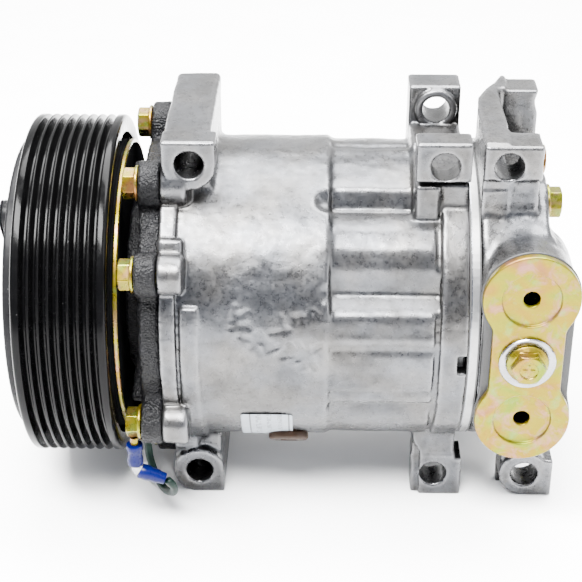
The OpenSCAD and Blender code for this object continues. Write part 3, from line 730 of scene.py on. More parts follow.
def build_block():
    clay = Clay((BLOCK_X0, -71, -FOOT_Z), (67, 71, EAR_TOP), 0.72)
    # crankcase barrel with its front land
    clay.add(rod_x(BLOCK_X0, -41.2, 60.2, edge=0.6))
    clay.add(rod_x(-42, BARREL_X1, BARREL_R, edge=1.5), 0.8)
    clay.add(arc_pad(-39.6, -32.6, 59.9, -88, -9, 1.2), 1.0)
    clay.cut(lathe([(-41.0, 62), (-39.8, 62), (-40.1, 58.6), (-40.7, 58.6)], 0.3))
    # wall over the cylinders, stepping down from the barrel
    clay.add(wall_shape(BARREL_X1 - 4, 54.5), 2.2)
    clay.add(rod_x(54.2, BLOCK_X1, FLANGE_R, edge=0.8), 1.4)
    clay.cut(lathe([(51.9, 60), (53.9, 60), (53.6, 56.7), (52.3, 56.7)], 0.4), 0.9)
    # closed ends of the hollows beside the barrel
    for t, depth in ((30.5, 6.5), (-4.0, 4.5)):
        hollow = capsule((BARREL_X1 - 1.0, 60.5, 0), (47, 60.5, 0), depth * 0.75)
        clay.cut(around(hollow, PORT_SIDE - t), 2.0)
    for a in FRONT_BOLTS:
        clay.add(front_boss_pad(a, BLOCK_X0, -37.5, 7.6, 1.6), 1.6)
    # filled corner at the front, on the port side
    clay.add(around(brick((BLOCK_X0, 55, -15), (-38.5, 60.4, 4), 1.2), PORT_SIDE), 1.2)
    # roots of the ears, the upper ones first
    for low, high, edge, blend in (
            ((-46, -31.5, 38), (-37, 35, 66), 1.5, 2.0), ((-46, -27, 38), (-29, 35, EAR_TOP), 1.8, 3.0),
            ((44.5, -31, 34), (63.9, 10, 58), 1.5, 1.6), ((44.5, -33, 26), (53.5, -16, 58), 1.5, 1.6),
            ((44.5, 0, 36), (63.9, 35, 60), 1.5, 2.0), ((-46, -31, -FOOT_Z + 1), (-27.5, 35, -40), 1.5, 2.5),
            ((-46, -33.5, -57), (-36.5, 0, -34), 1.5, 2.0), ((47.5, -34.5, -62), (63.9, -22, -30), 1.2, 1.8),
            ((47, 21, -62), (63.9, 34, -34), 1.2, 1.8)):
        clay.add(brick(low, high, edge), blend)
    # cast unevenness, before anything that is machined
    clay.roughen(0.30, 13, 1).roughen(0.12, 5.0, 2).roughen(0.06, 2.4, 3)
    # casting scars on the barrel
    dice = np.random.default_rng(8)
    for (xa, ta), (xb, tb), width, count in SCARS:
        for _ in range(count):
            u, w = dice.uniform(0, 1), dice.normal(0, width, 2)
            x, t = xa + (xb - xa) * u + w[0] * 0.5, ta + (tb - ta) * u + w[1]
            dx, dt, r = dice.normal(0, 2.2), dice.normal(0, 1.6), dice.uniform(0.5, 1.3)
            start = turned_point(x - dx, BARREL_R + r * 0.7, PORT_SIDE + t - dt)
            end = turned_point(x + dx, BARREL_R + r * 0.9, PORT_SIDE + t + dt)
            clay.cut(capsule(start, end, r), 0.9)
    # lugs with machined faces
    upper_lug = ear_outline(-45.6, -27.4, -36.4, 1, EAR_TOP - 0.6, 9.2)
    lower_lug = ear_outline(-46.0, -27.2, -36.4, -1, FOOT_Z - 0.6, 9.6)
    clay.add(prism(upper_lug, 1, -EAR_FACE, -24, 0.5, 0.6), 0.6)
    clay.add(prism(lower_lug, 1, -EAR_FACE, 35, 0.5, 0.5), 0.8)
    clay.cut(prism([(-50, -66), (-50, -80), (-36, -80)] + arc(-36.4, -66, 10.2, 270, 180, 6)[1:], 1,
                   -40, -27), 0.4)
    clay.add(brick((44.2, -EAR_FACE, 60.2), (63.9, -24, EAR_TOP), 0.7), 0.5)
    clay.add(brick((44.2, 21, 40), (63.9, EAR_FACE, EAR_TOP), 0.8), 0.5)
    clay.add(rod_y(54.5, EAR_Z, 19, 22, 8.0, 1.0), 0.8)
    clay.add(brick((47.4, -EAR_FACE, -FOOT_Z), (67, -22, -57), 0.8), 0.8)
    clay.cut(prism([(45, -80), (45, -50), (47.2, -50), (50.6, -56), (50.6, -80)], 1, -40, -33.2), 0.3)
    clay.add(brick((47.4, 21, -FOOT_Z), (63.9, EAR_FACE, -50), 0.8), 0.8)
    # machined faces, chambers and holes
    clay.cut(brick((30, -80, -FOOT_Z - 9), (70, 80, -FOOT_Z)))
    clay.cut(brick((BLOCK_X1, -70, -58.8), (80, 70, 80)))
    clay.cut(rod_x(BLOCK_X0 - 5, 6, 52.5))
    for k in range(CYLINDERS):
        clay.cut(around(rod_x(5, 70, BORE_R, y=CYLINDER_R), CYLINDER_A0 + k * STEP))
        clay.cut(around(rod_x(53, 70, 3.05, y=HEAD_BOLT_R), HEAD_BOLT_A0 + k * STEP))
    clay.cut(rod_x(0, 46, 7))
    for a in FRONT_BOLTS:
        clay.cut(around(rod_x(-50, -40, 3.0, y=FRONT_BOLT_R), a))
    for x, z in ((-36.3, EAR_Z), (-36.3, -EAR_Z), (54.5, EAR_Z), (56.0, -EAR_Z)):
        clay.cut(rod_y(x, z, -40, 40, EAR_HOLE_R), 0.5)
        clay.cut(rod_y(x, z, -EAR_FACE - 1.5, -EAR_FACE + 0.5, EAR_HOLE_R + 0.9, 0, -0.9), 0.0)
    clay.cut(around(rod_y(OIL_X, 0, 57.9, 66, 7.9), OIL_A))
    clay.cut(around(rod_y(OIL_X, 0, 50, 62, 5.05), OIL_A))
    # locating notch at the rear edge
    clay.cut(around(brick((60.6, 53, -3.6), (66, 62, 3.6), 0.4), PORT_SIDE + 30.5))
    return clay.mesh()


def build_housing():
    clay = Clay((-97, -71.5, -71.5), (-42, 71.5, 71.5), 0.8)
    clay.add(rod_x(-97, -61, 17.5, edge=0.8))
    clay.add(rod_x(-62, -54, 34, edge=1.5), 2.0)
    clay.add(rod_x(-55, BLOCK_X0, 57.0, edge=1.8), 2.0)
    for a in FRONT_BOLTS:
        clay.add(front_boss_pad(a, -54.8, BLOCK_X0, 8.0, 1.2), 1.8)
        clay.add(around(brick((-54.5, 44, -7.5), (BLOCK_X0, 62, 7.5), 2.0), a), 2.4)
    for k in range(6):
        clay.add(around(brick((-60, 30, -2), (-54, 52, 2), 1.2), 30 + 60 * k), 2.0)
    clay.roughen(0.30, 6.0, 11).roughen(0.26, 2.6, 12)
    clay.cut(brick((BLOCK_X0, -80, -80), (-30, 80, 80)))
    clay.add(lathe([(BLOCK_X0 - 1, 46.3), (BLOCK_X0 - 1, 52.2), (-42.2, 52.2), (-42.2, 46.3)], 0.1))
    clay.cut(lathe([(-46.2, 50), (-43.2, 50), (-43.2, 54), (-46.2, 54)]))
    for x0, x1, r in ((-99, -40, 10.5), (-99, -78, 13.5), (-70, -50, 14), (-53, -40, 33)):
        clay.cut(rod_x(x0, x1, r))
    for a in FRONT_BOLTS:
        clay.cut(around(rod_x(-62, -40, 3.3, y=FRONT_BOLT_R), a))
        clay.cut(around(rod_x(-58, -54.9, 6.9, y=FRONT_BOLT_R), a))
    return clay.mesh()


def build_head():
    clay = Clay((HEAD_X0, -58, -FOOT_Z), (103, 58, EAR_TOP), 0.66)
    clay.add(rod_x(HEAD_X0, HEAD_X1, HEAD_R, edge=2.2))
    clay.cut(rod_x(91.8, 100, 42, edge=1.0), 1.0)
    for k in range(CYLINDERS):
        a = HEAD_BOLT_A0 + k * STEP
        clay.add(around(rod_x(HEAD_X0 + 1, HEAD_X1, 7.6, y=HEAD_BOLT_R, edge=1.0), a), 2.0)
        clay.add(around(brick((88, 12, -1.6), (92.6, 44, 1.6), 0.8), a), 2.0)
    # port body
    for z in PORT_ZS:
        clay.add(rod_y(PORT_X, z, PORT_FACE, -30, 16.6, 0.6), 3.0)
    clay.add(brick((PORT_X - 12.6, PORT_FACE, PORT_ZS[1]), (PORT_X + 12.6, -38, PORT_ZS[0]), 0.8), 2.4)
    # ears
    clay.add(brick((HEAD_X0 + 0.1, -33, 36), (88.5, -18, 62), 1.5), 2.0)
    clay.add(prism([(68.6, -33), (76.6, -33), (81.4, 29), (81.4, 34.4), (80.6, 34.4), (77, 26.5),
                    (73, 19.5), (70, 12), (68.6, 0)], 2, 40, EAR_TOP - 0.2, 1.2, 0.5), 2.2)
    clay.add(brick((80.4, 19, 36), (93.6, 34, 66), 1.5), 2.4)
    clay.add(brick((82.4, -33, -62), (96, -20, -34), 1.5), 2.4)
    clay.add(brick((82.4, 21, -62), (96, 34, -34), 1.5), 2.4)
    clay.roughen(0.30, 12, 21).roughen(0.16, 4.6, 22).roughen(0.08, 2.2, 23)
    clay.add(brick((HEAD_X0 + 0.1, -EAR_FACE, 60.5), (89, -20.5, EAR_TOP - 0.8), 1.0), 0.8)
    clay.cut(prism([(67, 61), (67, 57), (95, 57), (95, 61)], 1, -40, -33.4, 0.2), 0.3)
    clay.cut(capsule((96.5, -28, 68), (96.5, 22, 62), 9.0), 2.0)
    clay.cut(brick((78.2, -20, 55), (99, 21, 80), 2.5), 2.5)
    clay.add(brick((80.6, 21, 50), (93.8, 34.6, EAR_TOP - 1.5), 0.9), 1.0)
    clay.cut(capsule((97.5, 20, 70), (96.2, 36, 62), 4.6), 1.5)
    clay.add(prism(ear_outline(82.6, 102.6, 92.0, -1, FOOT_Z - 0.6, 9.6)[:2]
                   + [(102.6, -60.0)] + arc(92.2, -66, 9.8, 40, 180, 7), 1, -EAR_FACE, -22, 0.5, 0.4), 0.8)
    clay.cut(prism([(78, -66), (78, -80), (91, -80)] + arc(92.2, -66, 10.0, 262, 180, 6), 1, -40, -26), 0.4)
    clay.add(brick((82.4, 21, -FOOT_Z), (102.6, EAR_FACE, -52), 0.9), 0.8)
    # machined faces, chambers and holes
    clay.cut(brick((60, -70, -80), (HEAD_X0, 70, 80)))
    clay.cut(brick((60, -80, -45), (110, PORT_FACE, 47)))
    clay.cut(rod_x(60, 88, 36))
    ring = lathe([(60, 40), (88, 40), (88, 53), (60, 53)])
    bosses = [around(rod_x(60, 90, 6.2, y=HEAD_BOLT_R), HEAD_BOLT_A0 + k * STEP)
              for k in range(CYLINDERS)]

    def ring_field(X, Y, Z):
        field = ring.field(X, Y, Z)
        for boss in bosses:
            field = np.maximum(field, -boss.field(X, Y, Z))
        return field
    clay.cut(Shape(ring.low, ring.high, ring_field))
    for z, depth in zip(PORT_ZS, (-37, -30)):
        clay.cut(rod_y(PORT_X - 3, z, -60, depth, 8.0))
    for k in range(CYLINDERS):
        a = HEAD_BOLT_A0 + k * STEP
        clay.cut(around(rod_x(60, 110, 3.3, y=HEAD_BOLT_R), a))
        clay.cut(around(rod_x(HEAD_X1 - 0.05, 110, 7.4, y=HEAD_BOLT_R), a))
    clay.cut(rod_y(77, EAR_Z, -40, -10, EAR_HOLE_R), 0.5)
    clay.cut(rod_y(92, -EAR_Z, -40, 40, EAR_HOLE_R), 0.5)
    clay.cut(around(rod_y(RELIEF_X, 0, 50, 64, 4.05), RELIEF_A))
    return clay.mesh()


def boxed(points, faces):
    """Keeps a casting inside the part's own box."""
    return np.clip(points, (-112.0, -66.0, -FOOT_Z), (103.0, 66.4, EAR_TOP)), faces


for name, build, look, node, slot in (
        ("block_casting", build_block, "cast", "cylinder_block", "cast_aluminium"),
        ("front_housing_casting", build_housing, "black_cast", "front_housing", "cast_black"),
        ("head_casting", build_head, "head_cast", "cylinder_head", "cast_aluminium")):
    make(name, boxed(*build()), look, "housing", [node], slot)


# ---- pulley and clutch ----

PULLEY_X0, PULLEY_X1, PULLEY_R = -99.0, -65.0, 66.0
GROOVES, PITCH, GROOVE_DEPTH = 8, 3.56, 3.5
SEGMENTS = 288


def rim_outline():
    """Outer face of the pulley rim from front to rear, as (x, radius)."""
    points = [(PULLEY_X0, 61.5), (PULLEY_X0, 64.6)] + [
        (x, r) for x, r in arc(PULLEY_X0 + 1.3, PULLEY_R - 1.3, 1.3, 180, 90, 4)]
    first = (PULLEY_X0 + PULLEY_X1) / 2 - GROOVES / 2 * PITCH
    floor_r, tip = PULLEY_R - GROOVE_DEPTH, 0.42
    for k in range(GROOVES):
        x = first + (k + 0.5) * PITCH
        tips = [(PITCH / 2 - tip * inset, PULLEY_R - drop) for inset, drop in ((0.55, 0.06), (1.1, 0.34),
                                                                               (1.45, 0.8))]
        half = tips + [(0.55, floor_r + 0.35), (0.25, floor_r)]
        points += [(x - dx, r) for dx, r in half] + [(x + dx, r) for dx, r in reversed(half)]
        if k < GROOVES - 1:
            points.append((x + PITCH / 2, PULLEY_R))
    points += arc(PULLEY_X1 - 1.6, PULLEY_R - 1.6, 1.6, 90, 0, 5)
    return points


def build_pulley():
    rear = [(PULLEY_X1, 60.2), (PULLEY_X1 - 0.5, 59.3), (PULLEY_X1 - 6.5, 58.6), (PULLEY_X1 - 7.0, 58.0),
            (-89.0, 58.0), (-90.2, 57.3), (-91.0, 55.8), (-91.0, 34.6), (-90.4, 33.4), (-89.2, 33.0),
            (-72.6, 33.0), (-72.0, 32.4), (-72.0, 28.1), (-72.6, 27.5), (-98.4, 27.5), (PULLEY_X0, 28.1)]
    front = [(PULLEY_X0, 35.2), (-98.6, 35.7), (-98.6, 39.6), (PULLEY_X0, 40.2)]
    return spun(rim_outline() + rear + front, SEGMENTS)


def cut_slots(obj, x0, x1, radius, half_r, half_w, angles):
    """Cuts rounded slots through a disc with a boolean."""
    parts = []
    for a in angles:
        low, high = (x0, radius - half_r, -half_w), (x1, radius + half_r, half_w)
        clay = Clay(low, high, 0.5)
        clay.add(brick(low, high, min(half_r, half_w) * 0.95))
        p, f = clay.mesh()
        parts.append((turned(p, a), f))
    cutter = make_mesh("slot_cutter", *joined(parts))
    modifier = obj.modifiers.new("slots", "BOOLEAN")
    modifier.operation = "DIFFERENCE"
    modifier.solver = "EXACT"
    modifier.object = cutter
    apply_modifiers(obj)
    bpy.data.objects.remove(cutter)


def apply_modifiers(obj):
    evaluated = obj.evaluated_get(bpy.context.evaluated_depsgraph_get())
    mesh = bpy.data.meshes.new_from_object(evaluated)
    obj.modifiers.clear()
    old, obj.data = obj.data, mesh
    bpy.data.meshes.remove(old)


pulley = make_mesh("pulley_rim", *build_pulley())
cut_slots(pulley, -104, -86, 37.5, 1.7, 11, [k * 60 for k in range(6)])
piece(sharp_edges(pulley, TURNED_CREASE), looks["coat"], "pulley", ["pulley"], "pulley_black")


def build_coil_body():
    outline = [(-62.0, 55.2), (-62.0, 17.9), (-70.0, 17.6), (-70.0, 35.4), (-88.0, 35.0), (-88.0, 37.7),
               (-66.0, 38.0), (-66.0, 54.0), (-87.6, 54.2), (-88.0, 54.6), (-88.0, 56.0), (-87.5, 56.5),
               (-65.2, 56.5), (-64.8, 55.2)]
    return spun(outline, SEGMENTS)


# painted shade: the coil shell is yellow zinc but is drawn near black, leaving only the zinc plate edge
# bright
make("coil_housing", build_coil_body(), "coil_painted_shade", "housing", ["field_coil"], "yellow_zinc",
     TURNED_CREASE)
coil_edge = [(-62.2, 55.0), (-63.8, 55.0), (-63.8, 56.1), (-63.4, 56.5), (-62.5, 56.5), (-62.2, 56.2)]
make("coil_plate_edge", spun(coil_edge, SEGMENTS), "zinc", "housing", (), "yellow_zinc", TURNED_CREASE)


ARMATURE_X1 = -99.58  # rear face, just clear of the pulley when the disc is pulled in


def build_armature():
    clay = Clay((-107, -58, -58), (-99.5, 58, 58), 0.55)
    clay.add(rod_x(-103.5, ARMATURE_X1, 57, edge=0.9))
    for k in range(3):
        clay.add(around(rod_x(-106.5, -100, 6.0, y=46, edge=0.6), 120 * k), 0.8)
    clay.cut(rod_x(-108, -99, 27, edge=0.0), 0.8)
    for k in range(3):
        clay.cut(around(brick((-110, 42, -12), (-95, 45, 12), 1.45), 120 * k + 60), 0.5)
    return clay.mesh()


make("armature_disc", build_armature(), "coat_dull", "armature", ["armature_plate"], "pulley_black")


def build_springs():
    clay = Clay((-108.7, -30, -30), (-106.4, 53, 30), 0.4)
    clay.add(brick((-107.3, 17, -6), (-106.5, 46, 6), 0.35))
    clay.add(rod_x(-107.3, -106.5, 6, y=46, edge=0.35))
    clay.cut(rod_x(-112, -100, 18))
    clay.add(rod_x(-108.6, -107.0, 2.6, y=20.5, edge=0.7))
    clay.add(rod_x(-108.6, -107.0, 3.2, y=46, edge=0.8))
    p, f = clay.mesh()
    return joined([(turned(p, 120 * k), f) for k in range(3)])


make("leaf_springs_and_rivets", build_springs(), "coat_dull", frame["nodes"]["leaf_springs"]["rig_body"],
     ["leaf_springs"], "pulley_black")


def build_hub():
    return spun([(-106.5, 10.0), (-106.5, 23.2), (-105.8, 24.0), (-104.5, 24.0), (-104.0, 23.5),
                 (-104.0, 16.0), (-103.4, 15.0), (-98.1, 15.0), (-97.5, 14.4), (-97.5, 10.0)], 128)


make("hub_turned", build_hub(), "coat_dull", "shaft", ["clutch_hub"], "pulley_black", TURNED_CREASE)


# ---- fasteners ----

def hexagon(across, turn=0.0):
    r = across / math.sqrt(3)
    return [(r * math.cos(math.radians(60 * k + turn)), r * math.sin(math.radians(60 * k + turn)))
            for k in range(6)]


def chamfered(head, flat_r, slope, face_x):
    """A hexagon head with its corners turned down to a cone at its outer face."""
    def field(X, Y, Z):
        cone = (np.sqrt(Y ** 2 + Z ** 2) - flat_r - slope * (X - face_x)) * 0.5
        return np.maximum(head.field(X, Y, Z), cone)
    return Shape(head.low, head.high, field)


BOLT_ACROSS, BOLT_HEAD, BOLT_FLANGE_R, BOLT_FLANGE = 10.0, 4.4, 6.6, 1.2
BOLT_R, BOLT_LENGTH, BOLT_DISH = 3.0, 12.0, 0.7
FRONT_SEAT_X = -55.0


def build_bolt():
    """Bolt along +X: flanged head in front of its seat at 0, shank behind."""
    top = -BOLT_HEAD - BOLT_FLANGE
    clay = Clay((top, -BOLT_FLANGE_R, -BOLT_FLANGE_R), (0.2, BOLT_FLANGE_R, BOLT_FLANGE_R), 0.24)
    head = prism(hexagon(BOLT_ACROSS - 0.5), 0, top, 0, 0.25, 0.25)
    clay.add(chamfered(head, BOLT_ACROSS / 2 + 0.1, 1.9, top))
    clay.add(rod_x(-BOLT_FLANGE, 0, BOLT_FLANGE_R, edge=0.35), 0.25)
    clay.cut(rod_x(top - 1, top + BOLT_DISH, BOLT_ACROSS * 0.32, edge=0.2), 0.3)
    shank = spun([(-0.3, 0.05), (-0.3, BOLT_R), (BOLT_LENGTH - 0.5, BOLT_R), (BOLT_LENGTH, BOLT_R - 0.5),
                  (BOLT_LENGTH, 0.05)], 24)
    return joined([clay.mesh(), shank])


def bolt_set(name, mesh, x, radius, angles, turns, node):
    """Bolts on a circle about the shaft, each at its own turn about itself."""
    points, faces = mesh
    bolts = [(turned(points, turn) + np.array(turned_point(x, radius, a)), faces)
             for a, turn in zip(angles, turns)]
    make(name, joined(bolts), "zinc", "housing", [node], "yellow_zinc", FASTENER_CREASE)


FRONT_TWIST, HEAD_TWIST = 13, 21  # how much further each bolt is turned than the last, degrees
bolt_points, bolt_faces = build_bolt()
bolt_set("housing_bolts", (bolt_points, bolt_faces), FRONT_SEAT_X, FRONT_BOLT_R, FRONT_BOLTS,
         [a + FRONT_TWIST * k for k, a in enumerate(FRONT_BOLTS)], "front_bolts")
# head bolts point the other way
bolt_set("head_bolt_set", (bolt_points * np.array([-1.0, 1.0, 1.0]), bolt_faces[:, ::-1]),
         HEAD_X1, HEAD_BOLT_R, [HEAD_BOLT_A0 + k * STEP for k in range(CYLINDERS)],
         [HEAD_TWIST * k for k in range(CYLINDERS)], "head_bolts")


def build_nut():
    clay = Clay((-111.5, -10, -10), (-104, 10, 10), 0.3)
    clay.add(prism(hexagon(13.4), 0, -111.5, -107.6, 0.3, 0.3)).add(rod_x(-107.8, -104, 9, edge=0.4), 0.4)
    clay.cut(rod_x(-114, -100, 5.05), 0.4)
    return clay.mesh()


make("hub_nut", build_nut(), "zinc", "shaft", ["shaft_nut"], "yellow_zinc")


# ---- port cap ----

def to_port(points):
    """Points drawn along +X from a face, turned to stand on the port face looking to -Y."""
    p = np.asarray(points, float)
    return np.stack([p[:, 2], p[:, 0], p[:, 1]], 1)


NECK = 26.0
PORT_MID = sum(PORT_ZS) / 2
CAP_Y0, CAP_Y1, CAP_BOLT_Y = -59.0, -56.0, -60.3  # outer and inner face of the cap, seat of its bolt


def figure(y0, y1, r, neck, edge):
    """Two round ends and a neck between them."""
    def field(X, Y, Z):
        rounds = [np.sqrt((X - PORT_X) ** 2 + (Z - z) ** 2) - r for z in PORT_ZS]
        bar = np.maximum(np.abs(X - PORT_X) - neck / 2, slab(Z, PORT_ZS[1], PORT_ZS[0]))
        return round_corner(slab(Y, y0, y1), smooth_min(np.minimum(*rounds), bar, 1.6), edge)
    return Shape((PORT_X - r, y0, PORT_ZS[1] - r), (PORT_X + r, y1, PORT_ZS[0] + r), field)


def build_cap():
    clay = Clay((67, -59.2, -42), (103, -56, 44), 0.36)
    clay.add(figure(CAP_Y0, CAP_Y1, 17.4, NECK, 0.55))
    for z in PORT_ZS:
        clay.cut(rod_y(PORT_X, z, -60.2, -57.7, 10.5, 0.3), 0.5)
        clay.cut(rod_y(PORT_X, z, -62, -50, 3.0), 0.4)
    clay.cut(rod_y(PORT_X, PORT_MID, -62, -50, 4.3))
    return clay.mesh()


make("port_cap", build_cap(), "zinc_plate", "housing", ["port_cap_plate"], "yellow_zinc")


def build_cap_gasket():
    clay = Clay((66.5, -56, -43), (104, -55, 45), 0.34)
    clay.add(figure(CAP_Y1, PORT_FACE, 17.8, NECK + 6.4, 0.3))
    for z in PORT_ZS:
        clay.cut(rod_y(PORT_X, z, -57, -54, 11.0))
    clay.cut(rod_y(PORT_X, PORT_MID, -57, -54, 4.5))
    return clay.mesh()


make("port_gasket", build_cap_gasket(), "gasket", "housing", ["cap_gasket"], "gasket_black")


def on_port(mesh, y):
    """A mesh drawn along +X, stood on the port face between the two ports."""
    points, faces = mesh
    return to_port(points) + np.array([PORT_X, y, PORT_MID]), faces


washer_ring = spun([(0.0, 4.3), (0.0, 10.0), (-0.4, 10.25), (-1.0, 10.25), (-1.4, 9.9), (-1.4, 8.4),
                    (-1.15, 7.9), (-1.15, 4.3)], 96)
make("port_washer", on_port(washer_ring, CAP_Y0), "bright", "housing", ["cap_washer"], "bright_steel",
     TURNED_CREASE)


def build_cap_bolt():
    clay = Clay((-5.1, -8, -8), (0, 8, 8), 0.22)
    clay.add(lathe([(0, 0), (0, 7.4), (-0.5, 7.4), (-1.6, 6.0), (-1.6, 0)], 0.15))
    clay.add(chamfered(prism(hexagon(10.4, 30), 0, -5.0, -1.0, 0.3, 0.3), 5.2, 1.7, -5.0), 0.2)
    clay.cut(rod_x(-6, -4.5, 3.3, edge=0.2), 0.3)
    for turn in (0, 90):
        clay.add(around(brick((-4.75, -2.2, -0.35), (-4.4, 2.2, 0.35), 0.12), turn), 0.15)
    shank = spun([(-0.3, 0.05), (-0.3, 3.9), (13.0, 3.9), (13.4, 3.4), (13.4, 0.05)], 32)
    return joined([clay.mesh(), shank])


make("port_bolt", on_port(build_cap_bolt(), CAP_BOLT_Y), "zinc", "housing", ["cap_bolt"], "yellow_zinc",
     FASTENER_CREASE)


# ---- lead and its blue sleeves ----

LEAD_POINTS = [(-61.9, -28, -43), (-59.9, -28, -43), (-58, -29, -46), (-57, -31, -52), (-56, -34, -60),
               (-53, -39, -66), (-49, -46, -67), (-45, -53, -63), (-44.5, -56, -58), (-46.5, -57, -54.5)]


def curve_through(points, steps):
    """Smooth curve through given points."""
    p = np.array(points, float)
    out = []
    for k in range(steps + 1):
        u = k * (len(p) - 1) / steps
        i = min(int(u), len(p) - 2)
        t = u - i
        a, b, c, d = p[max(i - 1, 0)], p[i], p[i + 1], p[min(i + 2, len(p) - 1)]
        out.append(0.5 * (2 * b + t * (c - a) + t * t * (2 * a - 5 * b + 4 * c - d)
                          + t ** 3 * (3 * b - a - 3 * c + d)))
    return np.array(out)


def swept(path, radii, sides=24, straight=False):
    """A round tube along a path with a radius at each point, closed at both ends."""
    path = np.asarray(path, float)
    tangents = np.tile(path[-1] - path[0], (len(path), 1)) if straight else np.gradient(path, axis=0)
    tangents = tangents / np.linalg.norm(tangents, axis=1)[:, None]
    up = np.cross(tangents[0], (0.3, 1.0, 0.2))
    rings = []
    for centre, t, r in zip(path, tangents, radii):
        up = up - (up @ t) * t
        up /= np.linalg.norm(up)
        side = np.cross(t, up)
        a = np.arange(sides) * 2 * math.pi / sides
        rings.append(centre + r * (np.cos(a)[:, None] * up + np.sin(a)[:, None] * side))
    n = len(rings)
    points = np.concatenate(rings + [path[:1], path[-1:]])
    faces = []
    for i in range(n - 1):
        for k in range(sides):
            k2 = (k + 1) % sides
            faces.append([i * sides + k, i * sides + k2, (i + 1) * sides + k2, (i + 1) * sides + k])
    for k in range(sides):
        k2 = (k + 1) % sides
        faces.append([n * sides, k2, k])
        faces.append([n * sides + 1, (n - 1) * sides + k, (n - 1) * sides + k2])
    return points, faces


def sleeve(start, end, stops):
    """A moulded sleeve from start to end. Stops are (place along it, radius)."""
    start, end = np.array(start, float), np.array(end, float)
    path = np.array([start + (end - start) * s for s, _ in stops])
    return swept(path, [r for _, r in stops], straight=True)


LEAD_R, LEAD_STEPS = 1.5, 90
lead_mesh = swept(curve_through(LEAD_POINTS, LEAD_STEPS), [LEAD_R] * (LEAD_STEPS + 1), 20)
make("coil_wire", lead_mesh, "green", "housing", ["coil_lead"], "lead_green")

TERM_TOP, TERM_MID = (-58.3, -57, -38), (-58.3, -57, -47)
TERM_JOINT, TERM_END = (-57.2, -57, -50.0), (-47.4, -57, -53.9)
upper = make_mesh("upper_sleeve", *sleeve(TERM_TOP, TERM_MID, [
    (0.0, 1.7), (0.0, 2.9), (0.03, 3.1), (0.22, 3.15), (0.30, 2.75), (0.62, 2.7), (0.70, 3.0), (0.97, 3.0),
    (1.0, 2.8), (1.0, 2.0)]))
lower = make_mesh("lower_sleeve", *sleeve(TERM_JOINT, TERM_END, [
    (0.02, 1.6), (0.02, 2.7), (0.05, 2.95), (0.35, 3.0), (0.43, 2.7), (0.72, 2.65), (0.80, 2.4), (0.99, 2.2),
    (1.0, 2.0), (1.0, 1.5)]))
crimp = make_mesh("crimp_joint", *sleeve((-58.3, -57, -46.8), (-56.6, -57, -51.2), [
    (0.0, 0.6), (0.0, 2.1), (0.15, 2.35), (0.5, 2.5), (0.8, 2.3), (0.95, 1.5), (1.0, 0.5)]))
tang = make_mesh("terminal_tang", *sleeve((-58.3, -57, -34.95), TERM_TOP, [
    (0.0, 0.9), (0.02, 1.5), (0.9, 1.55), (1.0, 1.5)]))
for obj, key, slot in ((upper, "blue", "terminal_blue"), (lower, "blue", "terminal_blue"),
                       (crimp, "bright", "bright_steel"), (tang, "zinc", "yellow_zinc")):
    piece(sharp_edges(obj, FASTENER_CREASE), looks[key], "housing", slot=slot)
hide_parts("lead_terminals")


# ---- plug, valve and label ----

def build_oil_plug():
    clay = Clay((OIL_X - 8, 52, -8), (OIL_X + 8, 62, 8), 0.3)
    clay.add(rod_y(OIL_X, 0, 53, 58.5, 5.0))
    clay.add(rod_y(OIL_X, 0, 57.9, 61.7, 7.7, 1.5), 0.2)
    clay.cut(brick((OIL_X - 3, 60.2, -3), (OIL_X + 3, 63, 3), 0.4), 0.3)
    points, faces = clay.mesh()
    return turned(points, OIL_A), faces


make("oil_fill_plug", build_oil_plug(), "brown", "housing", ["oil_plug"], "plug_brown")


def build_relief():
    clay = Clay((72, 50, -8), (88, 66, 8), 0.3)
    clay.add(rod_y(RELIEF_X, 0, 51, 58, 4.0))
    clay.add(prism([(RELIEF_X + x, z) for x, z in hexagon(12.5)], 1, 57.5, 62.5, 0.3, 0.3))
    clay.add(rod_y(RELIEF_X, 0, 62.3, 65.4, 4.5, 0.5), 0.3)
    clay.cut(rod_y(RELIEF_X, 0, 64, 67, 2.2), 0.3)
    points, faces = clay.mesh()
    return turned(points, RELIEF_A), faces


make("relief_valve_body", build_relief(), "zinc", "housing", ["relief_valve"], "yellow_zinc")

LABEL_X0, LABEL_X1, LABEL_T0, LABEL_T1 = -18.6, 0.8, -84.0, -56.6


def label_look():
    """White sticker with two thin rules and plain grey bars in three columns."""
    look = Look("label_paper")
    axes = look.tree.nodes.new("ShaderNodeSeparateXYZ")
    look.put(axes.inputs[0], look.coordinates)
    x = look.math("SUBTRACT", look.math("DIVIDE", axes.outputs[0], MM), ORIGIN.x / MM)
    z = look.math("DIVIDE", axes.outputs[2], MM)

    def near(value, centre, half):
        return look.math("LESS_THAN", look.math("ABSOLUTE", look.math("SUBTRACT", value, centre)), half)
    rules = look.math("MAXIMUM", near(x, LABEL_X0 + 3.4, 0.3), near(x, LABEL_X1 - 1.4, 0.3))
    columns = near(x, LABEL_X0 + 6.6, 1.1)
    for centre in (LABEL_X0 + 10.6, LABEL_X0 + 14.6):
        columns = look.math("MAXIMUM", columns, near(x, centre, 0.9))
    bars = look.math("GREATER_THAN", look.math("FRACT", look.math("MULTIPLY", z, 1.05)), 0.45)
    broken = look.math("GREATER_THAN", look.noise(1.1, 1.0), 0.47)
    ink = look.math("MULTIPLY", look.math("MULTIPLY", columns, bars), broken)
    paper = look.ramp(look.noise(6.0, 3.0), (0.3, (0.150, 0.168, 0.190)), (0.7, (0.180, 0.198, 0.215)))
    base = look.mix(look.math("MULTIPLY", ink, 0.9), paper, (0.014, 0.015, 0.018))
    base = look.mix(look.math("MULTIPLY", rules, 0.85), base, (0.005, 0.005, 0.006))
    return look.set(Base_Color=base, Roughness=look.ramp(look.noise(2.0), (0.3, 0.42), (0.7, 0.55)),
                    Normal=look.bump(look.noise(3.0), 0.05, 0.3)).material


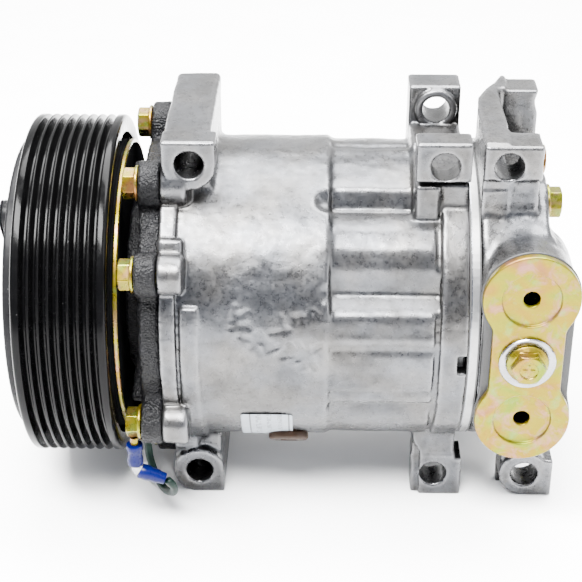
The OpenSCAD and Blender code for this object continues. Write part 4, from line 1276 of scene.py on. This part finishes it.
def build_label():
    """A thin curved sheet with rounded corners, following the barrel."""
    rows, columns, thick, lift, corner = 40, 30, 0.12, 0.42, 1.3
    inner, outer, faces = [], [], []
    arc_half = math.radians(LABEL_T1 - LABEL_T0) * BARREL_R / 2
    x_half = (LABEL_X1 - LABEL_X0) / 2
    for i in range(rows + 1):
        for j in range(columns + 1):
            u, v = (2 * j / columns - 1) * x_half, (2 * i / rows - 1) * arc_half
            # pull the corner points in onto a quarter circle
            du, dv = abs(u) - (x_half - corner), abs(v) - (arc_half - corner)
            if du > 0 and dv > 0:
                scale = max(du, dv) / math.hypot(du, dv)
                u = math.copysign(x_half - corner + du * scale, u)
                v = math.copysign(arc_half - corner + dv * scale, v)
            t = (LABEL_T0 + LABEL_T1) / 2 + math.degrees(v / BARREL_R)
            x = (LABEL_X0 + LABEL_X1) / 2 + u
            inner.append(turned_point(x, BARREL_R + lift - thick, PORT_SIDE - t))
            outer.append(turned_point(x, BARREL_R + lift, PORT_SIDE - t))
    row = columns + 1
    shift = len(inner)
    for i in range(rows):
        for j in range(columns):
            a, b, c, d = i * row + j, i * row + j + 1, (i + 1) * row + j + 1, (i + 1) * row + j
            faces += [[a, b, c, d], [d + shift, c + shift, b + shift, a + shift]]
    rim = [j for j in range(columns)] + [columns + i * row for i in range(rows)]
    rim += [rows * row + j for j in range(columns, 0, -1)] + [i * row for i in range(rows, 0, -1)]
    for a, b in zip(rim, rim[1:] + rim[:1]):
        faces.append([b, a, a + shift, b + shift])
    return inner + outer, faces


label = make_mesh("rating_label", *build_label())
bm = bmesh.new()
bm.from_mesh(label.data)
bmesh.ops.recalc_face_normals(bm, faces=bm.faces)
bm.to_mesh(label.data)
bm.free()
piece(label, label_look(), "housing")


# ---- studio ----

def floor_look():
    look = Look("studio_floor")
    base = look.ramp(look.noise(60.0, 2.0), (0.3, 0.86), (0.7, 0.90))
    return look.set(Base_Color=base, Roughness=0.85).material


FLOOR_HALF = 6.0
floor_mesh = bpy.data.meshes.new("studio_floor")
floor_mesh.from_pydata([(-FLOOR_HALF, -FLOOR_HALF, 0), (FLOOR_HALF, -FLOOR_HALF, 0),
                        (FLOOR_HALF, FLOOR_HALF, 0), (-FLOOR_HALF, FLOOR_HALF, 0)], [], [(0, 1, 2, 3)])
floor = bpy.data.objects.new("studio_floor", floor_mesh)
bpy.context.scene.collection.objects.link(floor)
floor.data.materials.append(floor_look())


def area_light(name, place, target, size, power):
    data = bpy.data.lights.new(name, "AREA")
    data.shape = "RECTANGLE"
    data.size, data.size_y = size
    data.energy = power
    light = bpy.data.objects.new(name, data)
    bpy.context.scene.collection.objects.link(light)
    light.location = place
    light.rotation_euler = (Vector(target) - Vector(place)).to_track_quat("-Z", "Y").to_euler()


area_light("key_light", (-0.30, -0.45, 1.15), (-0.02, 0, 0.06), (0.9, 0.40), 180.0)
area_light("top_light", (0.20, 0.35, 1.25), (0, 0, 0.05), (1.4, 0.8), 170.0)
area_light("right_light", (1.1, -0.35, 0.45), (0, 0, 0.07), (0.4, 0.9), 14.0)

SKY_DARK, SKY_BRIGHT = (0.70, 0.76, 0.92), (3.0, 3.0, 3.0)


def studio_sky():
    """A white overhead and rear wall, and a darker room on the camera's side."""
    world = bpy.data.worlds.new("studio")
    world.use_nodes = True
    tree = world.node_tree
    place = tree.nodes.new("ShaderNodeTexCoord")
    dot = tree.nodes.new("ShaderNodeVectorMath")
    dot.operation = "DOT_PRODUCT"
    tree.links.new(place.outputs["Generated"], dot.inputs[0])
    dot.inputs[1].default_value = (0.0, 0.6, 1.0)
    wall = tree.nodes.new("ShaderNodeMapRange")
    wall.interpolation_type = "SMOOTHSTEP"
    tree.links.new(dot.outputs["Value"], wall.inputs["Value"])
    wall.inputs["From Min"].default_value = 0.12
    wall.inputs["From Max"].default_value = 0.46
    tone = tree.nodes.new("ShaderNodeMix")
    tone.data_type = "RGBA"
    tree.links.new(wall.outputs[0], tone.inputs[0])
    tone.inputs[6].default_value = (*SKY_DARK, 1)
    tone.inputs[7].default_value = (*SKY_BRIGHT, 1)
    tree.links.new(tone.outputs[2], tree.nodes["Background"].inputs[0])
    return world


bpy.context.scene.world = studio_sky()
